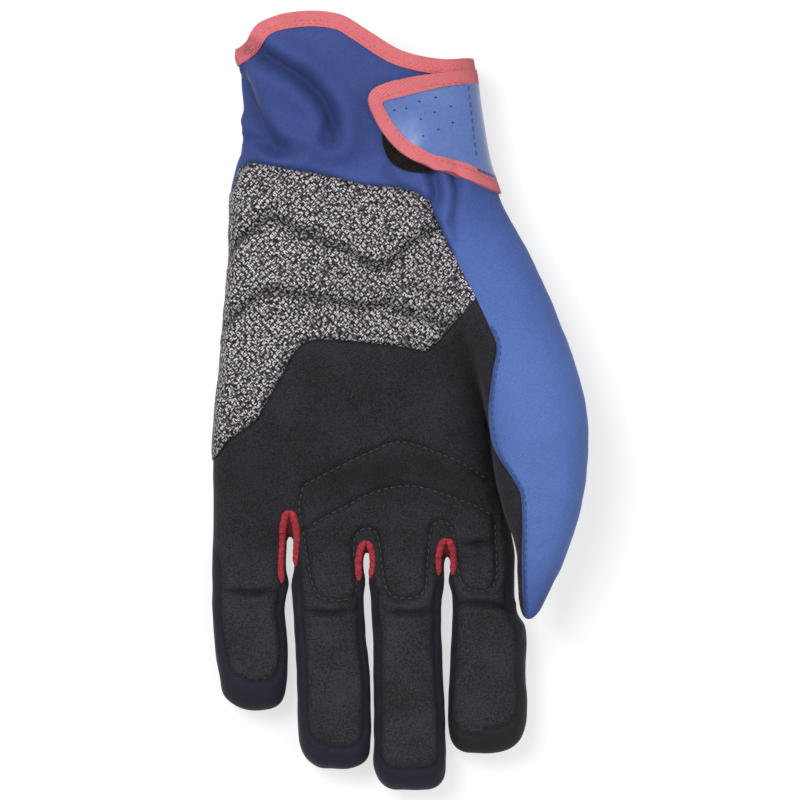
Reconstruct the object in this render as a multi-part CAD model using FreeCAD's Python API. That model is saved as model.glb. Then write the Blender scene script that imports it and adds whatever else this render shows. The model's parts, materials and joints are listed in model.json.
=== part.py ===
"""A full-finger left-hand sports glove, lying palm up on its back.

Frame: millimetres, +Z up out of the palm, +Y towards the cuff, +X towards the thumb.
The origin is under the middle of the glove, on the surface that its back lies on.

The hand is a flattened tube, open at the cuff and at the finger roots. Its walls are layers of
that tube: every panel, pad, lining and trim is the space between two insets of the same loft, cut
to an outline seen from above. Fingers are rounded hollow prisms in two segments, each hinged in
the palm-side skin, so that a finger curls up over the palm. The thumb is a tapered tube beside
the palm, hinged in its outer skin. The wrist strap wraps the thumb side of the cuff and lifts
about a line there.
"""

import FreeCAD
import Part
import math
import os

V = FreeCAD.Vector
OUT = "parts"

# Layers, measured inwards from the outer skin
SHELL_T = 1.5
LAYER_GAP = 0.1
PAD_T = 1.4
LINING_T = 0.8
ELASTIC_T = 0.9
JOINT_GAP = 0.4

# Hand tube: y, x on the little-finger side, x on the thumb side, top of the palm side
HAND_SECTIONS = [
    (-58.0, -60.2, 37.6, 17.6),
    (-49.0, -60.2, 37.2, 18.0),
    (-32.0, -60.0, 33.0, 21.4),
    (-14.0, -60.0, 29.8, 26.5),
    (8.0, -58.8, 28.6, 31.0),
    (38.0, -56.0, 28.6, 33.5),
    (62.0, -54.8, 28.4, 32.0),
    (80.0, -50.6, 24.8, 29.5),
    (100.0, -50.6, 21.6, 30.0),
    (134.0, -51.6, 16.4, 30.5),
]
HAND_STATIONS = 15
FLOOR_SINK = 0.4
SIDE_SEAM_Z = 10.0
REACH = 80.0
TOP = 70.0

# Knuckle lines, where each finger is hinged to the hand
KNUCKLE_Y = -49.0
LITTLE_KNUCKLE_Y = -42.5
LITTLE_STEP_X = -36.4

# Cuff edge, seen from above, and its binding tape
CUFF_EDGE = [(-75, 103), (-51.2, 113.3), (-43.5, 121.6), (-32.0, 124.5), (-19.2, 123.3), (-9.5, 118.2),
             (0.0, 112.0), (12.8, 109.0), (23.4, 108.6), (50, 108.0), (75, 107.6)]
BINDING_W = 5.0
BINDING_T = 0.7

# Heel patch, seen from above, clockwise from its wrist corner
HEEL_TOP = [(-REACH, 60.0), (-53.8, 67.8), (-48.0, 75.0), (-32.0, 74.2), (8.0, 65.0), (10.2, 62.7)]
HEEL_SIDE = [(12.8, 53.4), (24.0, 32.6)]
HEEL_FRONT = [(15.0, 20.5), (8.0, 16.3), (-28.8, 19.8), (-35.2, 14.7), (-46.4, -5.1), (-59.8, -17.9),
              (-REACH, -22.0)]

# Stitched pads under the palm: the heel's three channels and the bar across the knuckles
CHANNEL_W = 1.6
CHANNELS = [[(-REACH, 44.0), (-51.0, 51.0), (-41.0, 57.0), (-28.8, 52.8), (-6.4, 42.6), (4.0, 48.0),
             (20.0, 56.0)],
            [(-REACH, 22.0), (-51.0, 28.0), (-40.0, 35.0), (-12.8, 30.5), (14.7, 24.6), (26.0, 20.0)]]
KNUCKLE_PAD = [(-31.0, -27.5), (-20.0, -22.0), (0.0, -12.8), (14.5, -17.0), (24.0, -24.0), (25.5, -47.0),
               (-30.5, -47.0)]
ELASTIC_Y = (79.0, 91.0)

# Strap, seen from above, from the cuff edge round its free end to the wrist
STRAP_OUTLINE = [(21.0, 106.6), (0.0, 102.6), (-7.5, 99.4), (-10.0, 94.6), (-7.6, 88.6), (0.0, 79.2),
                 (8.5, 74.9), (20.0, 71.4), (31.0, 66.8)]
STRAP_BINDING_W = 4.0
STRAP_LIFT = 2.9
STRAP_T = 1.5
STRAP_BINDING_STEP = 0.5
STRAP_HINGE_Z = 15.0
STRAP_ROOT_Z = 6.0
HOOK_T = 0.9
HOOK_PATCH = [(-3.0, 96.5), (19.0, 101.0), (19.0, 78.0), (2.0, 82.0)]
LOOP_T = 1.1
LOOP_PATCH = [(-4.6, 99.0), (-5.4, 84.0), (-1.5, 74.2), (8.0, 73.0), (26.5, 63.8), (26.5, 103.0)]

# Fingers: knuckle y, tip y, middle-joint y, left and right edge at the knuckle and near the tip, height
FINGERS = {
    "little": (LITTLE_KNUCKLE_Y, -99.4, -60.5, (-60.0, -39.2), (-56.6, -36.2), 15.6),
    "ring": (KNUCKLE_Y, -117.6, -68.5, (-33.9, -12.9), (-31.9, -9.4), 17.2),
    "middle": (KNUCKLE_Y, -124.6, -69.5, (-9.4, 12.8), (-8.1, 15.0), 17.6),
    "index": (KNUCKLE_Y, -112.8, -69.5, (16.9, 36.9), (15.9, 40.9), 17.4),
}
TIP_CORNER_R = 7.0
TIP_SHOULDER = 5.0
SKIN_R = 5.0
SIDE_BAND = 2.7
TIP_BAND = 8.0
TOUCH_PATCH_BAND = 18.0
WEB_T = 0.8
WEB_LENGTH = {"little": 16.0, "ring": 12.0, "middle": 11.0, "index": 11.0}

INDEX_SHOULDER = 8.0

# Thumb tube: y, inner x, outer x, bottom, top
THUMB_SECTIONS = [
    (62.0, 2.0, 31.2, 3.0, 28.0),
    (45.0, 8.0, 41.4, 3.0, 33.5),
    (29.0, 14.0, 48.0, 4.0, 37.0),
    (13.0, 21.0, 54.4, 5.5, 39.2),
    (-8.0, 28.9, 60.2, 7.0, 40.0),
    (-22.0, 31.4, 59.4, 8.0, 39.0),
    (-38.0, 36.8, 57.0, 9.5, 36.5),
    (-50.0, 38.2, 52.6, 11.0, 33.0),
    (-60.0, 38.4, 47.6, 13.5, 29.5),
    (-66.6, 39.2, 44.0, 17.5, 25.5),
    (-69.0, 40.8, 42.4, 20.4, 22.6),
]
THUMB_SWING = (60.3, -8.0)
THUMB_BEND = (57.1, -38.0)
THUMB_SEAM = [(24.0, 32.6), (29.5, 24.0), (31.0, 14.0), (29.8, 0.0), (31.5, -12.0), (36.0, -24.0),
              (40.6, -34.0), (41.4, -46.0), (41.0, -60.0), (41.4, -75.0)]


def xy_face(points, smooth=False):
    """A flat face at z = 0 from points; smooth runs a spline through all of them and closes it straight."""
    spots = [V(x, y, 0) for x, y in points]
    if smooth:
        curve = Part.BSplineCurve()
        curve.interpolate(spots)
        edges = [curve.toShape(), Part.makeLine(spots[-1], spots[0])]
        return Part.Face(Part.Wire(edges))
    return Part.Face(Part.makePolygon(spots + [spots[0]]))


def upright(face, low=-5.0, high=TOP):
    """The face carried straight up between two heights."""
    base = face.copy()
    base.translate(V(0, 0, low))
    return base.extrude(V(0, 0, high - low))


def block(x0, x1, y0, y1, z0=-5.0, z1=TOP):
    return Part.makeBox(x1 - x0, y1 - y0, z1 - z0, V(x0, y0, z0))


def above_line(points):
    """Everything on the cuff side of a line that crosses the hand."""
    top = [(points[-1][0], 160.0), (points[0][0], 160.0)]
    return upright(xy_face(list(points) + top))


def common(first, *others):
    shape = first
    for other in others:
        shape = shape.common(other)
    return shape


def between(table, y):
    """A row of the table at y: smooth between its rows, and never past the two on either side."""
    spots = [row[0] for row in table]
    i = max(k for k in range(len(spots) - 1) if spots[k] <= y + 1e-9)
    step = spots[i + 1] - spots[i]
    t = (y - spots[i]) / step

    def slope(k, column):
        if k in (0, len(spots) - 1):
            return 0.0
        before = (table[k][column] - table[k - 1][column]) / (spots[k] - spots[k - 1])
        after = (table[k + 1][column] - table[k][column]) / (spots[k + 1] - spots[k])
        return 0.0 if before * after <= 0 else 2 * before * after / (before + after)

    row = []
    for column in range(1, len(table[0])):
        a, b = table[i][column], table[i + 1][column]
        bend_a, bend_b = slope(i, column) * step, slope(i + 1, column) * step
        row.append(a + bend_a * t + (3 * (b - a) - 2 * bend_a - bend_b) * t ** 2
                   + (2 * (a - b) + bend_a + bend_b) * t ** 3)
    return row


def stadium(y, x_low, x_high, z_low, z_high):
    """A closed section across the hand: flat palm and back, half-round sides."""
    r = (z_high - z_low) / 2
    z_mid = (z_high + z_low) / 2
    top_left, top_right = V(x_low + r, y, z_high), V(x_high - r, y, z_high)
    low_right, low_left = V(x_high - r, y, z_low), V(x_low + r, y, z_low)
    return Part.Wire([
        Part.makeLine(top_left, top_right),
        Part.Arc(top_right, V(x_high, y, z_mid), low_right).toShape(),
        Part.makeLine(low_right, low_left),
        Part.Arc(low_left, V(x_low, y, z_mid), top_left).toShape(),
    ])


def hand_tube(inset):
    """The solid inside the hand's skin at an inset; a negative inset lies outside the skin."""
    first, last = HAND_SECTIONS[0][0], HAND_SECTIONS[-1][0]
    wires = []
    for i in range(HAND_STATIONS + 1):
        y = first + (last - first) * i / HAND_STATIONS
        x0, x1, z1 = between(HAND_SECTIONS, y)
        wires.append(stadium(y, x0 + inset, x1 - inset, inset - FLOOR_SINK, z1 - inset))
    return Part.makeLoft(wires, True, False)


def thumb_tube(inset):
    """The solid inside the thumb's skin at an inset, closed at the tip."""
    wires = []
    last_y = THUMB_SECTIONS[-1][0] + inset
    for y, x0, x1, z0, z1 in THUMB_SECTIONS:
        a, b = (x1 - x0) / 2 - inset, (z1 - z0) / 2 - inset
        if y < last_y or min(a, b) < 0.6:
            continue
        centre = V((x0 + x1) / 2, y, (z0 + z1) / 2)
        across, upwards = V(1, 0, 0), V(0, 0, 1)
        major, minor, along = (a, b, across) if a >= b else (b, a, upwards)
        ellipse = Part.Ellipse(centre + along * major,
                               centre + (upwards if a >= b else across) * minor, centre)
        wire = Part.Wire(ellipse.toShape())
        wires.append(wire)
    return Part.makeLoft(wires, True, False)


def layer(outer_inset, thickness):
    """The hand tube's wall between two insets."""
    return TUBES(outer_inset).cut(TUBES(outer_inset + thickness))


class Tubes:
    """Hand tubes by inset, each lofted once."""

    def __init__(self):
        self.made = {}

    def __call__(self, inset):
        key = round(inset, 3)
        if key not in self.made:
            self.made[key] = hand_tube(key)
        return self.made[key]


TUBES = Tubes()
WRITTEN = {}


def write(name, *shapes):
    """One node from one or more separate solids."""
    solids = [s for shape in shapes for s in shape.Solids if s.Volume > 0.5]
    if not solids:
        raise ValueError(name + " has no solid")
    shape = solids[0] if len(solids) == 1 else Part.makeCompound(solids)
    shape.exportStep(os.path.join(OUT, name + ".step"))
    WRITTEN[name] = solids
    print(f"{name:24s} solids {len(solids)} volume {shape.Volume:9.1f} valid {shape.isValid()}")


def hand_end():
    """Space kept by the hand body, which stops at the knuckle lines."""
    gap = JOINT_GAP / 2
    main = block(-REACH, REACH, KNUCKLE_Y + gap, 160.0, 0.0)
    little = block(-REACH, LITTLE_STEP_X, KNUCKLE_Y - 20, LITTLE_KNUCKLE_Y + gap)
    return main.cut(little)


def palm_side(z=SIDE_SEAM_Z):
    return block(-REACH, REACH, -150, 160, z)


def back_side():
    return block(-REACH, REACH, -150, 160, 0.0, SIDE_SEAM_Z)


def cuff_cut(below=0.0):
    """Everything on the finger side of the cuff edge, lowered by some distance."""
    edge = [(x, y - below) for x, y in CUFF_EDGE]
    curve = Part.BSplineCurve()
    curve.interpolate([V(x, y, 0) for x, y in edge])
    corners = [V(edge[-1][0], -150, 0), V(edge[0][0], -150, 0)]
    ends = [curve.EndPoint, *corners, curve.StartPoint]
    face = Part.Face(Part.Wire([curve.toShape(), Part.makePolygon(ends)]))
    return upright(face)


def heel_prism():
    return upright(xy_face(HEEL_TOP + HEEL_SIDE + HEEL_FRONT))


def cuff_prism():
    """The blue cuff panel's outline: above the heel patch, and down its thumb side."""
    corner = HEEL_SIDE[-1]
    outline = HEEL_TOP + HEEL_SIDE + [(REACH, corner[1]), (REACH, 160.0), (-REACH, 160.0)]
    return upright(xy_face(outline))


def channel(points, width=CHANNEL_W):
    """A thin upright strip along a stitched line, which parts two pads."""
    half = width / 2
    ahead = [(x, y + half) for x, y in points]
    behind = [(x, y - half) for x, y in reversed(points)]
    return upright(xy_face(ahead + behind))


def make_hand(thumb_inner):
    """The panels, pads, lining and cuff trim that stay with the palm."""
    body = hand_end()
    rim = cuff_cut(BINDING_T + LAYER_GAP)
    opening = common(thumb_inner, block(-REACH, REACH, THUMB_SWING[1], 160))
    skin = layer(0.0, SHELL_T).common(body).common(rim).cut(opening)
    palm_half, back_half = skin.common(palm_side()), skin.common(back_side())
    heel, cuff = heel_prism(), cuff_prism()
    write("heel_patch", palm_half.common(heel))
    write("cuff_palm_panel", palm_half.common(cuff))
    write("palm_panel", palm_half.cut(heel).cut(cuff))
    write("back_panel", back_half)

    under_skin = SHELL_T + LAYER_GAP
    pads = layer(under_skin, PAD_T).common(body).common(palm_side(SIDE_SEAM_Z + 4)).cut(opening)
    heel_pads = pads.common(heel)
    for line in CHANNELS:
        heel_pads = heel_pads.cut(channel(line))
    inner_edge = above_line([(-REACH, -14.0), (REACH, -14.0)])
    write("heel_pads", heel_pads.common(inner_edge).cut(block(-REACH, REACH, 64, 160)))
    write("knuckle_pad", pads.common(upright(xy_face(KNUCKLE_PAD))))
    elastic = layer(under_skin, ELASTIC_T).common(palm_side(SIDE_SEAM_Z + 1))
    write("wrist_elastic", elastic.common(block(-REACH, REACH, *ELASTIC_Y)))
    lining = layer(under_skin + PAD_T + LAYER_GAP, LINING_T).common(body).common(palm_side(SIDE_SEAM_Z + 1))
    write("palm_lining", lining.common(cuff_cut(BINDING_W + 6)).cut(opening))
    make_binding()
    make_webs()
    loop_outline = upright(xy_face(LOOP_PATCH))
    write("loop_patch", layer(-LAYER_GAP - LOOP_T, LOOP_T).common(loop_outline).common(palm_side(20)))


def make_binding():
    """A folded tape over the cuff's edge, with the panels' rim inside the fold."""
    wrap = TUBES(-LAYER_GAP - BINDING_T).cut(TUBES(SHELL_T + LAYER_GAP + BINDING_T))
    slot = TUBES(-LAYER_GAP).cut(TUBES(SHELL_T + LAYER_GAP))
    band = cuff_cut().cut(cuff_cut(BINDING_W))
    tape = wrap.common(band).cut(slot.common(cuff_cut(BINDING_T)))
    floor = block(-REACH, REACH, -150, 160, 0.0)
    write("cuff_binding", tape.common(floor))


def make_webs():
    """The red gussets that close the hand between two finger roots."""
    low, lid = SHELL_T + LAYER_GAP, 12.2
    pairs = [("little", "ring"), ("ring", "middle"), ("middle", "index")]
    for left, right in pairs:
        x0, x1 = FINGERS[left][3][1], FINGERS[right][3][0]
        y = FINGERS[right][0] + JOINT_GAP / 2
        if left == "little":
            top_y = FINGERS[left][0] + JOINT_GAP / 2
            across = block(x0 - 1.2, LITTLE_STEP_X, top_y, top_y + 1.4, low, lid)
            down = block(LITTLE_STEP_X, LITTLE_STEP_X + 1.4, y, top_y + 1.4, low, lid)
            write(f"{left}_{right}_web", across.fuse(down).removeSplitter())
            continue
        saddle = block(x0 - 1.2, x1 + 1.2, y, y + 3.4, low, lid)
        notch = Part.makeCylinder((x1 - x0) / 2, TOP, V((x0 + x1) / 2, y, -5))
        write(f"{left}_{right}_web", saddle.cut(notch))


def finger_face(name, inset=0.0, tip_inset=None):
    """A finger's outline seen from above. Its root runs on past the knuckle line."""
    knuckle, tip, _, (l0, r0), (l1, r1), _ = FINGERS[name]
    tip_at = tip + (inset if tip_inset is None else tip_inset)
    shoulder = tip_at + TIP_SHOULDER
    run_on = 12.0
    slope_l, slope_r = (l1 - l0) / (knuckle - tip), (r1 - r0) / (knuckle - tip)
    left_root = l0 - slope_l * run_on + inset
    right_root = r0 - slope_r * run_on - inset
    start = [V(left_root, knuckle + run_on, 0), V(l1 + inset, shoulder, 0)]
    end = [V(r1 - inset, shoulder, 0), V(right_root, knuckle + run_on, 0)]
    if name == "index":
        joint = FINGERS[name][2]
        neck = V(r0 - inset, joint + 0.5, 0)
        wide = V(r1 - inset, joint - INDEX_SHOULDER, 0)
        end = [V(r1 - inset, shoulder, 0), wide, neck, V(r0 - inset, knuckle + run_on, 0)]
    arc = Part.Arc(start[-1], V((l1 + r1) / 2, tip_at, 0), end[0]).toShape()
    wire = Part.Wire([Part.makePolygon(start), arc, Part.makePolygon(end + [start[0]])])
    return Part.Face(Part.Wire(wire.Edges))


def finger_solid(name, inset):
    """A finger's rounded prism at an inset from its skin."""
    knuckle, tip, _, _, _, height = FINGERS[name]
    solid = upright(finger_face(name, inset), inset, height - inset)
    shoulder = tip + inset + TIP_SHOULDER

    def is_corner(edge):
        a, b = (v.Point for v in edge.Vertexes) if len(edge.Vertexes) == 2 else (None, None)
        return a is not None and abs(a.x - b.x) + abs(a.y - b.y) < 0.01 and abs(a.y - shoulder) < 0.01

    corners = [e for e in solid.Edges if is_corner(e)]
    solid = solid.makeFillet(TIP_CORNER_R - inset, corners)
    root = knuckle + 12.0

    def is_rim(edge):
        box = edge.BoundBox
        return box.ZLength < 0.01 and box.YMin < root - 0.01

    rims = [e for e in solid.Edges if is_rim(e)]
    return solid.makeFillet(SKIN_R - inset, rims)


def make_finger(name):
    knuckle, tip, joint, _, _, height = FINGERS[name]
    gap = JOINT_GAP / 2
    skin = finger_solid(name, 0.0).cut(finger_solid(name, SHELL_T))
    first = block(-REACH, REACH, joint + gap, knuckle - gap)
    second = block(-REACH, REACH, tip - 5, joint - gap)
    band = TOUCH_PATCH_BAND if name == "index" else TIP_BAND
    core = upright(finger_face(name, SIDE_BAND, band))
    palm_half = block(-REACH, REACH, -150, 160, height / 2)
    back_half = block(-REACH, REACH, -150, 160, -5, height / 2)
    for part, space in (("base", first), ("end", second)):
        piece = skin.common(space)
        middle = piece.common(core)
        write(f"{name}_{part}_palm", middle.common(palm_half))
        write(f"{name}_{part}_back", middle.common(back_half))
        sides = piece.cut(core)
        if part == "end":
            cap_y = tip + band
            cap = block(-REACH, REACH, tip - 5, cap_y)
            write("index_touch_patch" if name == "index" else f"{name}_tip_cap", sides.common(cap))
            sides = sides.cut(cap)
        write(f"{name}_{part}_sides", sides)
    make_web_strips(name)


def make_web_strips(name):
    """Red stretch strips on the sides of a finger's root that face another finger."""
    knuckle, _, _, (l0, r0), _, height = FINGERS[name]
    length = WEB_LENGTH[name]
    grown = upright(finger_face(name, -LAYER_GAP - WEB_T), SKIN_R * 0.7, height - SKIN_R * 0.7)
    gap_space = upright(finger_face(name, -LAYER_GAP))
    strip = grown.cut(gap_space)
    centre = (l0 + r0) / 2
    top = knuckle - JOINT_GAP / 2
    left = block(-REACH, centre, top - length, top)
    right = block(centre, REACH, top - length, top)
    pieces = []
    if name != "little":
        pieces.append(strip.common(left))
    if name != "index":
        pieces.append(strip.common(right))
    write(f"{name}_web_strips", *pieces)


def thumb_seam_prism():
    """The side of the thumb that faces the palm."""
    return upright(xy_face([(-REACH, 32.6)] + THUMB_SEAM + [(-REACH, -75.0)]))


def make_thumb(outer, inner):
    gap = JOINT_GAP / 2
    hand = TUBES(-LAYER_GAP)
    shell = outer.cut(inner)
    saddle = shell.common(block(-REACH, REACH, THUMB_SWING[1] + gap, 160, 0.0)).cut(hand)
    base = shell.common(block(-REACH, REACH, THUMB_BEND[1] + gap, THUMB_SWING[1] - gap))
    end = shell.common(block(-REACH, REACH, -150, THUMB_BEND[1] - gap))
    palm_facing = thumb_seam_prism()
    names = [("thumb_saddle", saddle), ("thumb_base", base), ("thumb_end", end)]
    for name, piece in names:
        write(f"{name}_inner", piece.common(palm_facing))
        write(f"{name}_outer", piece.cut(palm_facing))


def strap_prism(inset):
    """The strap's outline carried upright, drawn in from its free edge by an inset."""
    curve = Part.BSplineCurve()
    curve.interpolate([V(x, y, 0) for x, y in STRAP_OUTLINE])
    spots = []
    count = len(STRAP_OUTLINE) + 1
    for i in range(count):
        at = curve.FirstParameter + (curve.LastParameter - curve.FirstParameter) * i / (count - 1)
        along = curve.tangent(at)[0]
        spots.append(curve.value(at) + V(-along.y, along.x, 0) * inset)
    edge = Part.BSplineCurve()
    edge.interpolate(spots)
    first, last = edge.StartPoint, edge.EndPoint
    ends = [last, V(REACH, last.y - 15, 0), V(REACH, first.y + 10, 0), first]
    return upright(Part.Face(Part.Wire([edge.toShape(), Part.makePolygon(ends)])))


def make_strap():
    """The closing strap: panel, folded binding round its edge, and the hook patch under it."""
    outline, inside = (strap_prism(inset) for inset in (0.0, STRAP_BINDING_W))
    gap = JOINT_GAP / 2
    past_hinge = block(-REACH, REACH, -150, 160, STRAP_HINGE_Z + gap)
    high = STRAP_LIFT + STRAP_T
    over_binding = BINDING_T + 2 * LAYER_GAP
    root = TUBES(-high).cut(TUBES(-over_binding)).common(outline)
    write("strap_root", root.common(block(0, REACH, -150, 160, STRAP_ROOT_Z, STRAP_HINGE_Z - gap)))
    panel = TUBES(-high).cut(TUBES(-STRAP_LIFT)).common(past_hinge)
    tape = TUBES(-high - STRAP_BINDING_STEP).cut(TUBES(-STRAP_LIFT + STRAP_BINDING_STEP)).common(past_hinge)
    write("strap_panel", panel.common(inside))
    write("strap_binding", tape.common(outline).cut(inside))
    hook_top = STRAP_LIFT - 0.6
    hook = TUBES(-hook_top).cut(TUBES(-hook_top + HOOK_T)).common(past_hinge)
    write("hook_patch", hook.common(upright(xy_face(HOOK_PATCH))))


def main():
    os.makedirs(OUT, exist_ok=True)
    thumb_outer, thumb_inner = thumb_tube(0.0), thumb_tube(SHELL_T)
    make_hand(thumb_inner)
    make_thumb(thumb_outer, thumb_inner)
    for name in FINGERS:
        make_finger(name)
    make_strap()
    spots = [p for solids in WRITTEN.values() for s in solids for p in s.tessellate(0.1)[0]]
    for axis in "xyz":
        values = [getattr(p, axis) for p in spots]
        print(axis, round(min(values), 2), round(max(values), 2))
    print("nodes", len(WRITTEN))


main()
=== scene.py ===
"""Looks of a left-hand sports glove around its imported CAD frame.

The glove's skin is one closed surface, worked out from outlines seen from above and from heights along
the hand, then cut into its sewn panels. Lengths here are millimetres in the frame's axes: +X to the
thumb, +Y to the cuff, +Z out of the palm. They turn into metres when a mesh is made.
"""

import json
import math

import bpy
import numpy as np
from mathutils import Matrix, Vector
from mathutils.bvhtree import BVHTree


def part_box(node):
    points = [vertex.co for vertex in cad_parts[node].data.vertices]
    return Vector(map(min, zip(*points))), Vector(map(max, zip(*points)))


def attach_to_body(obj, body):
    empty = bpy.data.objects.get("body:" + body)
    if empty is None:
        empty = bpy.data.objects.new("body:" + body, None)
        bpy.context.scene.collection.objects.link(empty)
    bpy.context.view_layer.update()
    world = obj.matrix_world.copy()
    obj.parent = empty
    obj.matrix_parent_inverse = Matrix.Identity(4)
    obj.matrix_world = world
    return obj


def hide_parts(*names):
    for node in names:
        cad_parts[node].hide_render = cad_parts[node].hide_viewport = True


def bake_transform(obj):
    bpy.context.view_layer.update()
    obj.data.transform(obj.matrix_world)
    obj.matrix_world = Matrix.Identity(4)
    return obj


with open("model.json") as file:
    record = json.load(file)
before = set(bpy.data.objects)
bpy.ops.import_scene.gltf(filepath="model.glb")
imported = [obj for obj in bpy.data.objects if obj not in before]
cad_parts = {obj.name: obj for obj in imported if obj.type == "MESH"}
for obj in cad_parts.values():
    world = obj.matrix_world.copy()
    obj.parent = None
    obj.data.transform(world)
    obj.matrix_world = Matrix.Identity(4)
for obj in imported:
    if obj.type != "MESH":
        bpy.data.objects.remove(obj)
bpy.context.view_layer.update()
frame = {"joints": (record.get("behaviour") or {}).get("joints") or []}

MM = 0.001
JOINTS = {j["name"]: j for j in frame["joints"]}
FINGERS = ("little", "ring", "middle", "index")
RNG = np.random.default_rng(7)
BLACK = (0.0, 0.0, 0.0, 1.0)
WHITE = (1.0, 1.0, 1.0, 1.0)


def cad_mm(node):
    """A CAD node's box in millimetres: lowest and highest corner."""
    low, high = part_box(node)
    return np.array(low) / MM, np.array(high) / MM


# ---------------------------------------------------------------- driving sizes, mm
# spacing of the grid that the skin is worked out on, and the usual thickness of a panel
VOXEL = 0.7
SHEET_T = 0.9
KNUCKLE_Y = {f: JOINTS[f + "_knuckle"]["pos_m"][1] / MM for f in FINGERS}
FINGER_TOP = {f: JOINTS[f + "_knuckle"]["pos_m"][2] / MM for f in FINGERS}
THUMB_ROOT_Y = JOINTS["thumb_root_joint"]["pos_m"][1] / MM
SIDE_SEAM_Z = cad_mm("back_panel")[1][2]
# y where the fingers' own skins begin, and how far the palm's skin is worked out beyond it
FINGER_CUT = -53.0
STUB_END = -68.0
# open edges of two skins that lie this near each other are made one
RIM_REACH = 0.3
# the lowest height that a sewn panel may have
FLOOR_Z = 0.02
# height of the seam between the fingers' side walls and backs
FINGER_SEAM_Z = 7.6

# ---------------------------------------------------------------- outlines seen from above
HAND_LEFT = [(-51.6, 140), (-51.2, 113.3), (-50.6, 96.6), (-49.8, 84), (-52.6, 75.8), (-54.5, 66), (-54.6, 48.6),
             (-55.7, 35.8), (-57.0, 19.8), (-58.6, 3.8), (-60.0, -9.9), (-60.1, -20), (-60.0, -31), (-60.2, -44),
             (-60.5, -51)]
LITTLE_TIP = [(-60.5, -63.4), (-59.9, -76.2), (-58.2, -88), (-56.4, -94.8), (-51.2, -98.6), (-44.2, -99.3),
              (-38.8, -97.4), (-36.5, -91.5), (-36.2, -76.2), (-37.0, -68)]
LITTLE_RING_SLOT = [(-36.5, -62), (-35.7, -58.6), (-36.5, -54), (-36.5, -47.5), (-35.3, -43.2), (-34.2, -47.5),
                    (-34.2, -54), (-35.0, -58.6), (-34.7, -63.4)]
RING_TIP = [(-34.2, -72), (-33.6, -80), (-33.2, -92), (-32.7, -106), (-31.4, -113.0), (-27.0, -117.2),
            (-22, -118.0), (-15.6, -117.8), (-10.8, -115.0), (-9.35, -109.0), (-9.35, -98), (-9.9, -85), (-11.0, -74)]
RING_MIDDLE_SLOT = [(-11.7, -63), (-11.0, -58.0), (-11.7, -53.5), (-11.5, -50.2), (-10.6, -48.2), (-9.7, -50.2),
                    (-9.6, -53.5), (-10.2, -58.0), (-9.4, -63)]
MIDDLE_TIP = [(-9.0, -72), (-8.7, -80), (-8.5, -95), (-8.45, -112), (-8.0, -119.4), (-4.4, -124.0), (1.6, -125.0),
              (6, -125.0), (11.2, -124.2), (14.3, -120.8), (14.8, -113.5), (14.6, -104), (14.1, -92), (13.6, -80),
              (13.2, -70)]
MIDDLE_INDEX_SLOT = [(13.5, -63.5), (14.4, -57.6), (14.2, -54), (14.2, -51.4), (15.1, -49.6), (16.2, -51.4),
                     (16.2, -54), (15.4, -57.6), (16.8, -62)]
INDEX_TIP = [(16.9, -68), (16.4, -77), (15.9, -87), (15.5, -96), (15.45, -103), (16.0, -108.2), (18.8, -111.9),
             (23.6, -113.1), (29.0, -113.1), (35.0, -111.9), (38.8, -108.6), (40.5, -103.6), (41.1, -96.4),
             (40.5, -90), (40.5, -84), (40.7, -76.5), (40.2, -71.8), (37.8, -68.0)]
HAND_RIGHT = [(36.8, -60), (36.8, -48), (34.4, -36), (31.4, -25), (29.4, -12), (28.6, 0), (28.4, 20), (28.8, 40),
              (29.2, 62), (28.8, 72), (27.0, 84), (24.6, 100), (22.9, 113), (20.0, 140)]
THUMB_LEFT = [(6, 70), (11, 52), (16, 36), (21, 20), (24.8, 8), (27.6, -4), (28.9, -12), (30.2, -23), (33.4, -36),
              (36.8, -46), (37.6, -55), (37.8, -62), (38.9, -67.6)]
THUMB_TIP = [(41.0, -69.6), (44.0, -67.6)]
THUMB_RIGHT = [(46.4, -63.6), (48.8, -58.4), (53.2, -49), (56.8, -38), (58.8, -29), (59.8, -20), (60.2, -9),
               (59.0, 0.8), (55.6, 13.6), (49.6, 29.4), (42.8, 44.8), (37.2, 55), (31.6, 64), (26, 72), (16, 78)]

# x of the lines between neighbouring fingers
LANE_X = [slot[4][0] for slot in (LITTLE_RING_SLOT, RING_MIDDLE_SLOT, MIDDLE_INDEX_SLOT)]

# Heights: y, then top and bottom of the stuffed glove. Roundings: y, then how wide the rounded side is
HAND_HEIGHT = [(-130, 17.8, 0), (-56, 18.0, 0), (-45, 19.4, 0), (-30, 22.4, 0), (-14, 26.6, 0), (8, 30.6, 0),
               (38, 32.6, 0), (62, 31.0, 0), (80, 28.6, 0), (100, 29.4, 0), (140, 30.2, 0)]
HAND_ROUND = [(-130, 8.6), (-58, 8.8), (-46, 10.5), (-30, 14.0), (-10, 18.0), (20, 22.0), (60, 24.0), (80, 27.0),
              (140, 27.0)]
THUMB_HEIGHT = [(-72, 24.0, 18.5), (-66, 26.8, 16.4), (-60, 29.2, 13.8), (-50, 32.6, 11.2), (-38, 36.2, 9.6),
                (-22, 38.8, 8.0), (-8, 40.0, 7.0), (13, 38.8, 5.5), (29, 36.4, 4.0), (45, 32.6, 3.4), (70, 27.5, 3.2),
                (80, 26.0, 3.2)]
THUMB_ROUND = [(-72, 2.6), (-66, 3.4), (-60, 4.6), (-50, 7.2), (-38, 10.6), (-22, 13.2), (-8, 14.2), (30, 14.0),
               (80, 11.0)]
# 2 gives round sides, more gives squarer ones
ROUND_POWER = 2.25

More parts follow.
